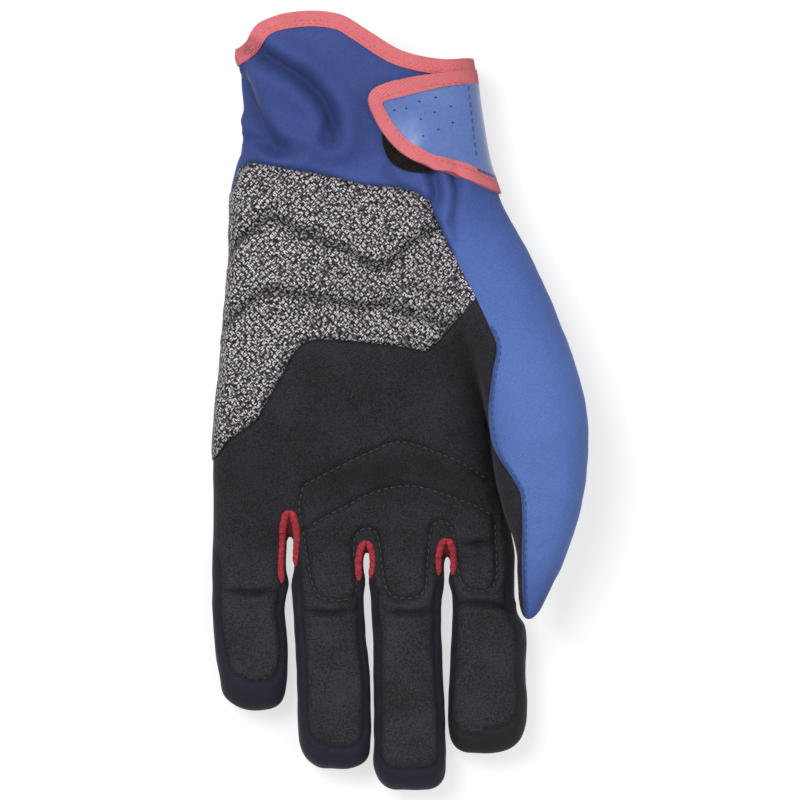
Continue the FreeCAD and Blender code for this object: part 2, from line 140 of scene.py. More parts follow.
# Panel edges, seen from above
HEEL_TOP = [(-75, 60.0), (-54.6, 66.4), (-51.2, 74.6), (-47.4, 76.2), (-38.4, 74.6), (-22.4, 72.0), (-12.8, 69.4),
            (3.2, 67.5)]
HEEL_CORNER = [(9.0, 64.3), (12.8, 55.4), (17.3, 46.4), (24.3, 33.0)]
HEEL_FRONT = [(17.3, 25.3), (13.4, 20.8), (8.3, 16.4), (3.2, 17.3), (-12.8, 19.2), (-28.8, 19.6), (-33.3, 16.3),
              (-38.4, 7.4), (-43.5, -1.6), (-46.2, -6.1), (-54.4, -11.9), (-59.6, -18.2), (-75, -30)]
THUMB_SEAM = [(28.8, 23.0), (30.7, 17.3), (29.4, 9.5), (28.3, 0.0), (28.3, -5.8), (29.6, -13.8), (32.0, -18.6),
              (35.2, -23.4), (38.1, -28.8), (38.8, -36.0), (38.8, -47.4), (38.9, -55.4), (39.2, -62.4), (40.6, -75)]
CUFF_EDGE = [(-75, 103), (-51.2, 113.3), (-44.2, 121.2), (-32.0, 124.5), (-19.2, 123.5), (-11.2, 119.0),
             (0.0, 112.2), (12.8, 109.4), (23.4, 110.0), (50, 109.6), (75, 109.2)]


# ---------------------------------------------------------------- curves and distances in the plan
def smooth(points, closed=False, per=6):
    """A smooth curve through points, as a longer list of points."""
    p = np.array(points, float)
    n = len(p)
    spans = n if closed else n - 1
    out = []
    for i in range(spans):
        a, b = p[i], p[(i + 1) % n]
        before = p[(i - 1) % n] if closed or i > 0 else 2 * a - b
        after = p[(i + 2) % n] if closed or i + 2 < n else 2 * b - a
        length = np.linalg.norm(b - a)
        slope_a = (b - before) / max(np.linalg.norm(b - before), 1e-9) * length
        slope_b = (after - a) / max(np.linalg.norm(after - a), 1e-9) * length
        for t in np.linspace(0, 1, per, endpoint=False):
            h = (2 * t ** 3 - 3 * t ** 2 + 1, t ** 3 - 2 * t ** 2 + t, 3 * t ** 2 - 2 * t ** 3, t ** 3 - t ** 2)
            out.append(h[0] * a + h[1] * slope_a + h[2] * b + h[3] * slope_b)
    if not closed:
        out.append(p[-1])
    return np.array(out)


def line_distance(points, line, closed=False):
    """Distance from each point to a broken line."""
    best = np.full(len(points), 1e18)
    count = len(line) if closed else len(line) - 1
    for i in range(count):
        a, b = line[i], line[(i + 1) % len(line)]
        ab = b - a
        t = np.clip(((points - a) @ ab) / max(ab @ ab, 1e-12), 0, 1)
        gap = points - a - t[:, None] * ab
        np.minimum(best, (gap ** 2).sum(1), out=best)
    return np.sqrt(best)


def inside_outline(points, outline):
    """Whether each point is inside a closed outline."""
    x, y = points[:, 0], points[:, 1]
    inside = np.zeros(len(points), bool)
    for i in range(len(outline)):
        (x0, y0), (x1, y1) = outline[i], outline[(i + 1) % len(outline)]
        if y0 == y1:
            continue
        crosses = (y0 > y) != (y1 > y)
        inside ^= crosses & (x < (x1 - x0) * (y - y0) / (y1 - y0) + x0)
    return inside


def signed(points, outline):
    """Distance to a closed outline, positive inside."""
    near = line_distance(points, outline, closed=True)
    return np.where(inside_outline(points, outline), near, -near)


def table(rows, y, column=1):
    """A column's value at y, read between the table's rows."""
    return np.interp(y, [r[0] for r in rows], [r[column] for r in rows])


def soft_table(rows, y, column=1):
    """The table's value smoothed over a few millimetres of y."""
    return sum(table(rows, y + shift, column) for shift in (-6, -3, 0, 3, 6)) / 5


def ramp(x, low, high):
    """0 below low, 1 above high and a soft step between them."""
    t = np.clip((x - low) / (high - low), 0, 1)
    return t * t * (3 - 2 * t)


# ---------------------------------------------------------------- the stuffed shape as a field
def pillow(d, z, low, high, rounding):
    """Below 0 inside a pillow whose edge is d away in the plan, with rounded sides."""
    middle, half = (high + low) / 2, (high - low) / 2
    q = 1 - np.minimum(d / rounding, 1.0)
    w = np.abs(z - middle[..., None]) / half[..., None]
    size = np.minimum(rounding, half)
    level = (np.maximum(q, 0)[..., None] ** ROUND_POWER + w ** ROUND_POWER) ** (1 / ROUND_POWER) - 1
    return level * size[..., None]


def soft_union(a, b, k):
    """Two fields joined, with a fillet about k wide between them."""
    h = np.maximum(k - np.abs(a - b), 0) / k
    return np.minimum(a, b) - h * h * k / 4


def lattice(x0, x1, y0, y1, z0, z1):
    """The grid's coordinates along each axis, on steps that all grids share."""
    def steps(a, b):
        return np.arange(math.floor(a / VOXEL), math.ceil(b / VOXEL) + 1) * VOXEL
    return steps(x0, x1), steps(y0, y1), steps(z0, z1)


def plan_points(xs, ys):
    """The grid's places seen from above, as two tables and as a list."""
    gx, gy = np.meshgrid(xs, ys, indexing="ij")
    return gx, gy, np.stack([gx.ravel(), gy.ravel()], 1)


def finger_height(x, y):
    """Top of the palm side: the hand's, turning into each finger's own."""
    top = soft_table(HAND_HEIGHT, y)
    own = np.full_like(top, FINGER_TOP["little"])
    for lane, finger in zip(LANE_X, FINGERS[1:]):
        own = own + (FINGER_TOP[finger] - own) * ramp(x, lane - 1.5, lane + 1.5)
    return top + (own - top) * ramp(-y, 38, 58)


def hand_field(xs, ys, zs, outline):
    """The field of the hand or of one finger, from its outline."""
    gx, gy, spots = plan_points(xs, ys)
    d = signed(spots, outline).reshape(gx.shape)
    top = finger_height(gx, gy)
    return pillow(d, zs[None, None, :], np.zeros_like(top), top, soft_table(HAND_ROUND, gy))


def thumb_field(xs, ys, zs):
    """The field of the thumb with the ball of the hand."""
    outline = smooth(THUMB_LEFT + THUMB_TIP + THUMB_RIGHT, closed=True)
    gx, gy, spots = plan_points(xs, ys)
    d = signed(spots, outline).reshape(gx.shape)
    top, low = soft_table(THUMB_HEIGHT, gy, 1), soft_table(THUMB_HEIGHT, gy, 2)
    return pillow(d, zs[None, None, :], low, top, soft_table(THUMB_ROUND, gy))


def surface_net(field, xs, ys, zs):
    """A triangle mesh of the field's zero level: one point in each cell that it crosses."""
    shape = tuple(n - 1 for n in field.shape)
    sums, counts = np.zeros(shape + (3,)), np.zeros(shape)
    origin = np.array([xs[0], ys[0], zs[0]])
    inside = field < 0
    edges = []
    for axis in range(3):
        a = [slice(None)] * 3
        b = [slice(None)] * 3
        a[axis], b[axis] = slice(0, -1), slice(1, None)
        fa, fb = field[tuple(a)], field[tuple(b)]
        where = np.argwhere(inside[tuple(a)] != inside[tuple(b)])
        va, vb = fa[tuple(where.T)], fb[tuple(where.T)]
        t = va / (va - vb)
        spot = where.astype(float)
        spot[:, axis] += t
        others = [k for k in range(3) if k != axis]
        for di in (0, -1):
            for dj in (0, -1):
                cell = where.copy()
                cell[:, others[0]] += di
                cell[:, others[1]] += dj
                good = ((cell >= 0) & (cell < shape)).all(1)
                index = tuple(cell[good].T)
                np.add.at(sums, index, spot[good])
                np.add.at(counts, index, 1)
        edges.append((axis, where, va < vb))
    active = counts > 0
    number = np.full(shape, -1)
    number[active] = np.arange(active.sum())
    points = sums[active] / counts[active][:, None] * VOXEL + origin
    quads = []
    for axis, where, rising in edges:
        j, k = [(1, 2), (2, 0), (0, 1)][axis]
        corners = []
        good = np.ones(len(where), bool)
        for dj, dk in ((0, 0), (-1, 0), (-1, -1), (0, -1)):
            cell = where.copy()
            cell[:, j] += dj
            cell[:, k] += dk
            good &= ((cell >= 0) & (cell < shape)).all(1)
            corners.append(cell)
        ids = np.stack([number[tuple(np.clip(c, 0, np.array(shape) - 1).T)] for c in corners], 1)[good]
        flip = ~rising[good]
        ids[flip] = ids[flip][:, ::-1]
        quads.append(ids)
    quads = np.concatenate(quads)
    tris = np.concatenate([quads[:, [0, 1, 2]], quads[:, [0, 2, 3]]])
    return settle(points, field, origin), tris


def settle(points, field, origin):
    """Points moved onto the field's zero level along its slope."""
    slopes = np.gradient(field, VOXEL)
    for _ in range(3):
        value = sample(field, points, origin)
        slope = np.stack([sample(s, points, origin) for s in slopes], 1)
        step = value[:, None] * slope / np.maximum((slope ** 2).sum(1), 0.05)[:, None]
        length = np.linalg.norm(step, axis=1, keepdims=True)
        points = points - step * np.minimum(1, 0.4 * VOXEL / np.maximum(length, 1e-9))
    return points


def sample(grid, points, origin):
    """The grid's value at each point, read between its corners."""
    p = (points - origin) / VOXEL
    base = np.clip(np.floor(p).astype(int), 0, np.array(grid.shape) - 2)
    f = p - base
    out = np.zeros(len(points))
    for corner in range(8):
        bit = np.array([corner & 1, corner >> 1 & 1, corner >> 2 & 1])
        weight = np.prod(np.where(bit, f, 1 - f), axis=1)
        out += weight * grid[tuple((base + bit).T)]
    return out


# ---------------------------------------------------------------- triangle meshes that can be cut
class Skin:
    """Points, triangles and named values per point."""

    def __init__(self, points, tris, **values):
        self.points, self.tris, self.values = points, tris, values

    def cut(self, level):
        """The two parts where level is above and below zero, cut exactly."""
        level = np.where(np.abs(level) < 1e-4, 1e-4, level)
        side = level > 0
        mixed = side[self.tris].any(1) & ~side[self.tris].all(1)
        tris = self.tris[mixed]
        lone_above = side[tris].sum(1) == 1
        lone = np.where(lone_above[:, None], side[tris], ~side[tris]).argmax(1)
        rows = np.arange(len(tris))
        a, b, c = (tris[rows, (lone + k) % 3] for k in range(3))
        edges = np.concatenate([np.stack([a, b], 1), np.stack([a, c], 1)])
        keys = np.sort(edges, 1)
        unique, back = np.unique(keys, axis=0, return_inverse=True)
        back = back.ravel()
        la, lb = level[unique[:, 0]], level[unique[:, 1]]
        t = (la / (la - lb))[:, None]
        fresh = {}
        for name, data in dict(self.values, points=self.points).items():
            flat = data.reshape(len(data), -1)
            made = flat[unique[:, 0]] * (1 - t) + flat[unique[:, 1]] * t
            fresh[name] = np.concatenate([flat, made]).reshape((-1,) + data.shape[1:])
        start = len(self.points)
        ab, ac = start + back[:len(tris)], start + back[len(tris):]
        corner = np.stack([a, ab, ac], 1)
        rest = np.concatenate([np.stack([ab, b, c], 1), np.stack([ab, c, ac], 1)])
        twice = np.concatenate([lone_above, lone_above])
        parts = []
        for above in (True, False):
            whole = self.tris[(side[self.tris] == above).all(1)]
            chosen = np.concatenate([whole, corner[lone_above == above], rest[twice != above]])
            parts.append(Skin(fresh["points"], chosen, **{k: fresh[k] for k in self.values}).tidy())
        return parts

    def tidy(self):
        """Drops points that no triangle uses."""
        used, back = np.unique(self.tris, return_inverse=True)
        self.tris = back.reshape(self.tris.shape)
        self.points = self.points[used]
        self.values = {k: v[used] for k, v in self.values.items()}
        return self

    def normals(self):
        """The outward direction at each point."""
        p = self.points[self.tris]
        face = np.cross(p[:, 1] - p[:, 0], p[:, 2] - p[:, 0])
        out = np.zeros_like(self.points)
        for k in range(3):
            np.add.at(out, self.tris[:, k], face)
        return out / np.maximum(np.linalg.norm(out, axis=1, keepdims=True), 1e-12)

    def relaxed(self, rounds, share=0.5):
        """Points moved towards the middle of their neighbours, except on open edges."""
        edges = np.sort(np.concatenate([self.tris[:, [0, 1]], self.tris[:, [1, 2]], self.tris[:, [2, 0]]]), 1)
        unique, count = np.unique(edges, axis=0, return_counts=True)
        fixed = np.zeros(len(self.points), bool)
        fixed[unique[count == 1].ravel()] = True
        degree = np.zeros(len(self.points))
        for k in range(2):
            np.add.at(degree, unique[:, k], 1)
        for _ in range(rounds):
            total = np.zeros_like(self.points)
            np.add.at(total, unique[:, 0], self.points[unique[:, 1]])
            np.add.at(total, unique[:, 1], self.points[unique[:, 0]])
            mean = total / np.maximum(degree, 1)[:, None]
            move = (mean - self.points) * share
            move[fixed] = 0
            self.points = self.points + move
        return self


def close_rims(points, tris, back):
    """Renumbers points of open edges that nearly coincide with a point of another part's open edge."""
    edges = np.sort(np.concatenate([tris[:, [0, 1]], tris[:, [1, 2]], tris[:, [2, 0]]]), 1)
    unique, count = np.unique(edges, axis=0, return_counts=True)
    rim = np.unique(unique[count == 1])
    linked = {tuple(e) for e in unique[count == 1]}
    renumber = np.arange(len(points))
    taken = set()
    for i in rim:
        if i in taken:
            continue
        near = np.linalg.norm(points[rim] - points[i], axis=1)
        for k in np.argsort(near)[1:4]:
            j = rim[k]
            if near[k] < RIM_REACH and j not in taken and (min(i, j), max(i, j)) not in linked:
                renumber[j] = i
                taken.update((i, j))
                break
    return renumber[back]


def joined(skins):
    """Skins put together, with points that coincide made one."""
    points = np.concatenate([s.points for s in skins])
    starts = np.cumsum([0] + [len(s.points) for s in skins[:-1]])
    tris = np.concatenate([s.tris + k for s, k in zip(skins, starts)])
    values = {k: np.concatenate([s.values[k] for s in skins]) for k in skins[0].values}
    keys = np.round(points / 0.01).astype(np.int64)
    _, first, back = np.unique(keys, axis=0, return_index=True, return_inverse=True)
    back = close_rims(points[first], back.ravel()[tris], back.ravel())
    tris = back[tris]
    proper = (tris[:, 0] != tris[:, 1]) & (tris[:, 1] != tris[:, 2]) & (tris[:, 0] != tris[:, 2])
    return Skin(points[first], tris[proper], **{k: v[first] for k, v in values.items()})


# ---------------------------------------------------------------- the whole skin
def hand_outline():
    """The glove's outline seen from above, without its thumb."""
    parts = (HAND_LEFT + LITTLE_TIP + LITTLE_RING_SLOT + RING_TIP + RING_MIDDLE_SLOT + MIDDLE_TIP
             + MIDDLE_INDEX_SLOT + INDEX_TIP + HAND_RIGHT)
    return smooth(parts, closed=True, per=5)


def finger_outline(name):
    """One finger's outline in three runs: left side, tip and right side."""
    runs = {"little": (HAND_LEFT[-3:], LITTLE_TIP, LITTLE_RING_SLOT[:5]),
            "ring": (LITTLE_RING_SLOT[4:], RING_TIP, RING_MIDDLE_SLOT[:5]),
            "middle": (RING_MIDDLE_SLOT[4:], MIDDLE_TIP, MIDDLE_INDEX_SLOT[:5]),
            "index": (MIDDLE_INDEX_SLOT[4:], INDEX_TIP, HAND_RIGHT[:3])}
    return runs[name]


def owned(skin, nearer_thumb):
    """The skin with a value stored that is positive on the thumb and negative on the hand."""
    skin.values["thumb"] = nearer_thumb
    return skin


def above_y(skin, y):
    """The skin's part on the cuff's side of y."""
    return skin.cut(skin.points[:, 1] - y)[0]


def below_y(skin, y):
    """The skin's part on the fingertips' side of y."""
    return skin.cut(y - skin.points[:, 1])[0]


def build_skin():
    """The glove's whole closed skin, worked out in blocks that are cut and joined along y."""
    outline = hand_outline()
    margin = 4 * VOXEL
    top = max(table(HAND_HEIGHT, y) for y in range(-50, 130)) + margin
    # hand and thumb on the cuff's side of the thumb's root, joined with a fillet
    xs, ys, zs = lattice(-66, 66, THUMB_ROOT_Y - margin, 132, -margin, 46)
    hand = hand_field(xs, ys, zs, outline)
    thumb = thumb_field(xs, ys, zs)
    k = 0.02 + 6.0 * ramp(ys, THUMB_ROOT_Y + 5, 34)[None, :, None]
    upper = Skin(*surface_net(soft_union(hand, thumb, k), xs, ys, zs))
    owned(upper, sample(hand - thumb, upper.points, np.array([xs[0], ys[0], zs[0]])))
    parts = [above_y(upper, THUMB_ROOT_Y)]
    # the palm beyond the thumb's root, down to where the fingers' own skins begin
    xs, ys, zs = lattice(-66, 44, STUB_END, THUMB_ROOT_Y + margin, -margin, top)
    lower = Skin(*surface_net(hand_field(xs, ys, zs, outline), xs, ys, zs))
    owned(lower, np.full(len(lower.points), -5.0))
    parts.append(below_y(above_y(lower, FINGER_CUT), THUMB_ROOT_Y))
    # the thumb beyond its root
    xs, ys, zs = lattice(24, 66, -74, THUMB_ROOT_Y + margin, 2, 46)
    thumb = Skin(*surface_net(thumb_field(xs, ys, zs), xs, ys, zs))
    parts.append(below_y(owned(thumb, np.full(len(thumb.points), 5.0)), THUMB_ROOT_Y))
    # fingers
    for name in FINGERS:
        left, tip, right = finger_outline(name)
        x0, x1 = min(p[0] for p in left + tip) - margin, max(p[0] for p in tip + right) + margin
        y0 = min(p[1] for p in tip) - margin
        alone = smooth([(left[0][0], -20)] + left + tip + right + [(right[-1][0], -20)], closed=True, per=5)
        xs, ys, zs = lattice(x0, x1, y0, FINGER_CUT + margin, -margin, 22)
        finger = Skin(*surface_net(hand_field(xs, ys, zs, alone), xs, ys, zs))
        parts.append(below_y(owned(finger, np.full(len(finger.points), -5.0)), FINGER_CUT))
    return joined(parts)


# ---------------------------------------------------------------- folds, quilting and seams
# Sewn and creased lines, seen from above
QUILT_LINES = [
    [(-56, 45.5), (-49.3, 53.4), (-41.6, 58.6), (-35.2, 56.2), (-28.8, 53.6), (-22.4, 50.4), (-16, 47.7),
     (-6.4, 42.6), (3.2, 50.2), (11.5, 55.0)],
    [(-56, 24), (-48, 31.7), (-42.2, 35.5), (-35.2, 34.4), (-27.5, 33.3), (-19.2, 31.7), (-10.9, 30.1), (-4, 30.8),
     (4, 27.4), (14.5, 24.4)]]
FAINT_QUILT = [(-4.5, 31.2), (3.2, 37.0), (8.3, 35.5), (17.5, 32.0)]
PAD_TOP = [(-30.9, -26.8), (-25.6, -23.9), (-16, -19.0), (-9.6, -16), (-1.6, -12.9), (3.8, -13.4), (11.2, -16),
           (19.2, -19.2), (28.6, -25.2)]
PAD_SIDE = [(-30.9, -26.8), (-32.3, -33.6), (-30.9, -41)]
PAD_WAVE = [(-30.1, -40.6), (-23.4, -36.5), (-16, -32.6), (-11.2, -30.0), (-4.8, -27.8), (1.6, -26.8), (7, -27.3),
            (18.2, -31), (24, -33.2), (29.8, -36.5)]
PAD_LOBES = [(-30.9, -41), (-29.6, -50.6), (-28.4, -57), (-26.6, -61.6), (-22.6, -63.5), (-17, -63.2),
             (-14.3, -61.2), (-14.1, -56), (-14.8, -49), (-14.6, -44), (-12.6, -41.0), (-10.2, -40.4),
             (-8, -41.2), (-6.5, -45.8), (-5.8, -52), (-4.7, -58.6), (-2.4, -62.2), (1.6, -62.9),
             (6.0, -62.2), (8.2, -59.6), (8.7, -53), (9.4, -44.6), (10.4, -39.8), (12.8, -38.0),
             (15.8, -39.4), (17.4, -43.4), (18.2, -49), (19.0, -55.6), (20.8, -59.3), (24.4, -60.6),
             (28.4, -60.2), (30.6, -57.4), (31.0, -51), (30.6, -44), (30.4, -37.6)]
FINGER_CREASES = [[(-30.2, -66.8), (-23, -67.8), (-14.5, -66.8)], [(-4.2, -67.2), (3, -67.8), (11.2, -67.2)],
                  [(18.2, -64.4), (27, -64.7), (33.5, -66.0), (38.4, -69.0)], [(20.4, -45.6), (30.4, -45.2)],
                  [(-56, -60.4), (-48, -61.4), (-40, -60.6)]]
# Each fold in the cuff: its line, depth and width
CUFF_FOLDS = [([(-47, 112.6), (-38, 107.6), (-28.8, 101.0), (-22.4, 92.4), (-21.5, 84)], 3.0, 2.6),
              ([(-50.4, 106), (-46.5, 94), (-38.4, 81.0)], 2.4, 2.6),
              ([(-49.0, 86), (-42.0, 82.0), (-33.0, 80.0)], 1.6, 2.2),
              ([(9.0, 77), (11.5, 68), (10.8, 60)], 1.8, 1.8), ([(16.0, 76), (18.8, 66), (18.0, 56)], 1.8, 1.8),
              ([(-3.0, 73), (-1.0, 69.5), (4.0, 66.0)], 1.2, 1.8)]
# Places that the light reaches less: x, y, half width, half length and share of darkening
HOLLOWS = [(22, 10, 7, 22, 0.5), (30, -16, 4, 16, 0.3), (-10, -23, 20, 6, 0.45), (14, -22, 14, 7, 0.45),
           (-52, -26, 12, 16, 0.25), (-24, -14, 6, 30, 0.12)]
# Soft swellings: x, y, half width, half length and height
BULGES = [(-33, 110, 6, 5, 1.2), (-44, 100, 5, 7, 1.0), (-20, 4, 11, 10, 1.3), (-44, 20, 10, 26, 0.8),
          (-4, -6, 14, 12, -1.6), (12, 8, 7, 22, -1.8), (-10, 46, 18, 12, 0.9), (-36, 102, 7, 9, 1.1),
          (-34, 63, 12, 6, 0.8)]
# How far a finger's palm face stops short of its tip, and how wide its side walls are to its left and right
FACE_LIFT = {"little": 7.4, "ring": 5.2, "middle": 5.2, "index": 5.2}
BAND = {"little": (2.9, 2.4), "ring": (3.2, 2.2), "middle": (2.2, 2.4), "index": (1.3, 3.3)}
ROOT_BAND = 0.9


def groove(spots, line, depth, width, puff=0.45):
    """A sewn channel: a valley along the line with a soft swelling on both sides."""
    d = line_distance(spots, line)
    return -depth * np.exp(-(d / width) ** 2) + puff * depth * np.exp(-((d - 2.3 * width) / (1.6 * width)) ** 2)


def fold(spots, line, depth, width):
    """A soft crease: a sharp valley with one high side, fading at both ends."""
    d = line_distance(spots, line)
    ends = np.minimum(np.linalg.norm(spots - line[0], axis=1), np.linalg.norm(spots - line[-1], axis=1))
    return (-depth * np.exp(-(d / width) ** 2) + 0.6 * depth * np.exp(-((d - 2 * width) / (1.5 * width)) ** 2)) \
        * ramp(ends, 0, 5)


def ripple(points, size, seed):
    """Smooth random relief from a few crossed waves, about one millimetre high."""
    rng = np.random.default_rng(seed)
    out = np.zeros(len(points))
    for _ in range(9):
        direction = rng.normal(size=3)
        direction /= np.linalg.norm(direction)
        out += np.sin(points @ direction * (2 * math.pi / (size * rng.uniform(0.7, 1.5))) + rng.uniform(0, 6.28))
    return out / 4.5


def finger_face_outline(name):
    """The outline of a finger's suede face, whose end stops short of the tip."""
    left, tip, right = finger_outline(name)
    end = min(p[1] for p in tip)
    corners = [(left[0][0] - 8, -5)], [(right[-1][0] + 8, -5)]
    line = smooth(corners[0] + left[1:] + tip + right[:-1] + corners[1], closed=True, per=5)
    share = ramp(-line[:, 1], -(KNUCKLE_Y[name] - 22), -end)
    return line + np.stack([np.zeros(len(line)), share * FACE_LIFT[name]], 1)


def finger_face_level(name, spots):
    """Positive on the finger's palm face; its side bands differ in width."""
    left, _, right = finger_outline(name)
    centre = (left[-1][0] + right[0][0]) / 2
    band = np.where(spots[:, 0] < centre, BAND[name][0], BAND[name][1])
    knuckle = KNUCKLE_Y[name]
    narrow = ramp(-spots[:, 1], -(knuckle + 2), -(knuckle - 14))
    return signed(spots, finger_face_outline(name)) - (ROOT_BAND + (band - ROOT_BAND) * narrow)


def from_heel(line):
    """The heel's upper edge and corner, run on into another line."""
    runs = (HEEL_TOP + HEEL_CORNER[:1], HEEL_CORNER, HEEL_CORNER[-1:] + line)
    return np.concatenate([smooth(run) for run in runs])


def heel_outline():
    """The woven heel patch."""
    return from_heel(HEEL_FRONT)


def blue_outline():
    """The blue cuff and thumb, closed outside the glove."""
    return np.concatenate([from_heel(THUMB_SEAM), [(90, -75), (90, 150), (-75, 150)]])


def mound(spots, x, y, wide, long):
    """1 at a place, falling off softly around it."""
    return np.exp(-((spots[:, 0] - x) / wide) ** 2 - ((spots[:, 1] - y) / long) ** 2)


def valley(spots, line, width):
    """How deep in a seam or fold a point is, from 0 to 1."""
    return np.exp(-(line_distance(spots, line) / width) ** 2)


def shape_surface(skin):
    """Folds, quilting, pads and seam valleys pressed into the palm side, with painted shade stored along the valleys
    and in hollows.
    """
    skin.relaxed(5)
    normals = skin.normals()
    points = skin.points
    facing = ramp(normals[:, 2], 0.0, 0.55)
    upper = facing > 0
    spots = points[upper][:, :2]
    relief = np.zeros(len(spots))
    on_thumb = ramp(skin.values["thumb"][upper], -1.0, 1.0)
    hand = 1 - on_thumb
    # painted shade: darkening laid along quilt lines, pad seams, creases, cuff folds, seams and hollows, where shade
    # would fall
    dark = np.zeros(len(spots))
    for line in QUILT_LINES:
        relief += groove(spots, smooth(line), 1.9, 1.7) * hand
        dark = np.maximum(dark, 0.62 * valley(spots, smooth(line), 1.5) * hand)
    relief += groove(spots, smooth(FAINT_QUILT), 0.8, 1.3) * hand
    dark = np.maximum(dark, 0.35 * valley(spots, smooth(FAINT_QUILT), 1.2) * hand)
    for line, depth in ((PAD_TOP, 0.7), (PAD_SIDE, 0.5), (PAD_WAVE, 0.7), (PAD_LOBES, 0.7)):
        relief += groove(spots, smooth(line), depth, 0.9, 0.35) * hand
        dark = np.maximum(dark, 0.7 * depth * valley(spots, smooth(line), 0.75) * hand)
    for line in FINGER_CREASES:
        relief += fold(spots, smooth(line), 1.5, 1.1) * hand
        dark = np.maximum(dark, 0.6 * valley(spots, smooth(line), 0.9) * hand)
    for line, depth, wide in CUFF_FOLDS:
        relief += fold(spots, smooth(line), depth, wide) * hand
        dark = np.maximum(dark, 0.16 * depth * valley(spots, smooth(line), wide) * hand)
    for x, y, wide, long, share in HOLLOWS:
        dark = np.maximum(dark, share * mound(spots, x, y, wide, long) * hand)
    for x, y, wide, long, height in BULGES:
        relief += height * mound(spots, x, y, wide, long) * hand
    heel_edge = heel_outline()
    relief += groove(spots, heel_edge, 0.7, 0.9, 0.3) * hand
    dark = np.maximum(dark, 0.6 * valley(spots, heel_edge, 0.8) * hand)
    seam = smooth(THUMB_SEAM)
    relief += groove(spots, seam, 0.7, 0.9, 0.3)
    dark = np.maximum(dark, 0.5 * valley(spots, seam, 0.8))
    for name in FINGERS:
        near = spots[:, 1] < KNUCKLE_Y[name] + 8
        level = finger_face_level(name, spots[near])
        inside = signed(spots[near], smooth(sum(finger_outline(name), []), closed=True, per=5)) > -1.5
        band = -0.5 * np.exp(-(level / 0.8) ** 2) + 0.22 * np.exp(-((np.abs(level) - 1.9) / 1.3) ** 2)
        share = ramp(-spots[near][:, 1], -(KNUCKLE_Y[name] - 3), -(KNUCKLE_Y[name] - 12)) * inside
        relief[near] += band * share
        dark[near] = np.maximum(dark[near], 0.55 * np.exp(-(level / 0.6) ** 2) * share)
    relief += 0.35 * ramp(signed(spots, heel_edge), 0, 1.6) * hand
    move = np.zeros(len(points))
    move[upper] = relief * facing[upper]
    skin.values["painted_shade"] = np.zeros(len(points))
    skin.values["painted_shade"][upper] = dark * facing[upper]
    # broad waves, higher in the loose cuff, and a finer unevenness all over
    soft = 0.22 + 0.32 * ramp(points[:, 1], 50, 66)
    move += ripple(points, 17.0, 3) * soft * ramp(normals[:, 2], -0.4, 0.6)
    move += ripple(points, 7.5, 5) * 0.10
    skin.points = points + normals * move[:, None]
    return skin


# ---------------------------------------------------------------- pieces
def piece_mesh(name, skin, normals, thickness, painted_shade, rest):
    """A closed sheet from a piece of skin: outer face, inner face and rims between them."""
    count = len(skin.points)
    inner = skin.points - normals * thickness
    edges = np.concatenate([skin.tris[:, [0, 1]], skin.tris[:, [1, 2]], skin.tris[:, [2, 0]]])
    key = np.sort(edges, 1)
    _, first, times = np.unique(key, axis=0, return_index=True, return_counts=True)
    rim = edges[first[times == 1]]
    walls = np.concatenate([np.stack([rim[:, 1], rim[:, 0], rim[:, 0] + count], 1),
                            np.stack([rim[:, 1], rim[:, 0] + count, rim[:, 1] + count], 1)])
    tris = np.concatenate([skin.tris, skin.tris[:, ::-1] + count, walls])
    points = np.concatenate([skin.points, inner])
    points[:, 2] = np.maximum(points[:, 2], FLOOR_Z)
    mesh = bpy.data.meshes.new(name)
    mesh.vertices.add(len(points))
    mesh.vertices.foreach_set("co", (points * MM).astype(np.float32).ravel())
    mesh.loops.add(len(tris) * 3)
    mesh.loops.foreach_set("vertex_index", tris.astype(np.int32).ravel())
    mesh.polygons.add(len(tris))
    mesh.polygons.foreach_set("loop_start", np.arange(0, len(tris) * 3, 3, dtype=np.int32))
    mesh.update(calc_edges=True)
    mesh.polygons.foreach_set("use_smooth", np.ones(len(tris), bool))
    slots = np.zeros(len(tris), np.int32)
    slots[len(skin.tris):] = 1
    mesh.polygons.foreach_set("material_index", slots)
    loops = np.concatenate([normals, -normals])[tris.ravel()]
    wall = np.cross(points[walls[:, 1]] - points[walls[:, 0]], points[walls[:, 2]] - points[walls[:, 0]])
    wall /= np.maximum(np.linalg.norm(wall, axis=1, keepdims=True), 1e-12)
    loops[len(skin.tris) * 6:] = np.repeat(wall, 3, axis=0)
    mesh.normals_split_custom_set([tuple(n) for n in loops])
    keep_rest(mesh, np.tile(rest, (2, 1)))
    # the painted shade is stored per point, for the materials to darken with
    mesh.attributes.new("painted_shade", "FLOAT", "POINT").data.foreach_set("value", np.tile(painted_shade, 2).astype(np.float32))
    return mesh


def unrolled(skin, normals):
    """The skin's points with x run on down both sides, so that a pattern doesn't smear there."""
    y = skin.points[:, 1]
    top = np.where(skin.values["thumb"] > 0, table(THUMB_HEIGHT, y), table(HAND_HEIGHT, y))
    rest = skin.points.copy()
    rest[:, 0] += np.clip(normals[:, 0] / 0.35, -1, 1) * np.maximum(top - rest[:, 2] - 6, 0)
    return rest


def keep_rest(mesh, points):
    """Stores each point's resting place in millimetres, which the materials are mapped to."""
    data = mesh.attributes.new("rest", "FLOAT_VECTOR", "POINT")
    data.data.foreach_set("vector", np.asarray(points, np.float32).ravel())


def add_object(name, mesh, *materials):
    """A new object in the scene with its materials."""
    obj = bpy.data.objects.new(name, mesh)
    bpy.context.scene.collection.objects.link(obj)
    for material in materials:
        mesh.materials.append(material)
    return obj


# ---------------------------------------------------------------- which body each part belongs to
# y where each finger's base and its end begin
FINGER_START = {"little": -43.0, "ring": -48.3, "middle": -48.9, "index": -49.4}
BASE_END = {"little": -54.3, "ring": -61.4, "middle": -61.4, "index": -61.4}
THUMB_START = THUMB_ROOT_Y + 6
THUMB_SPLIT = -24.0
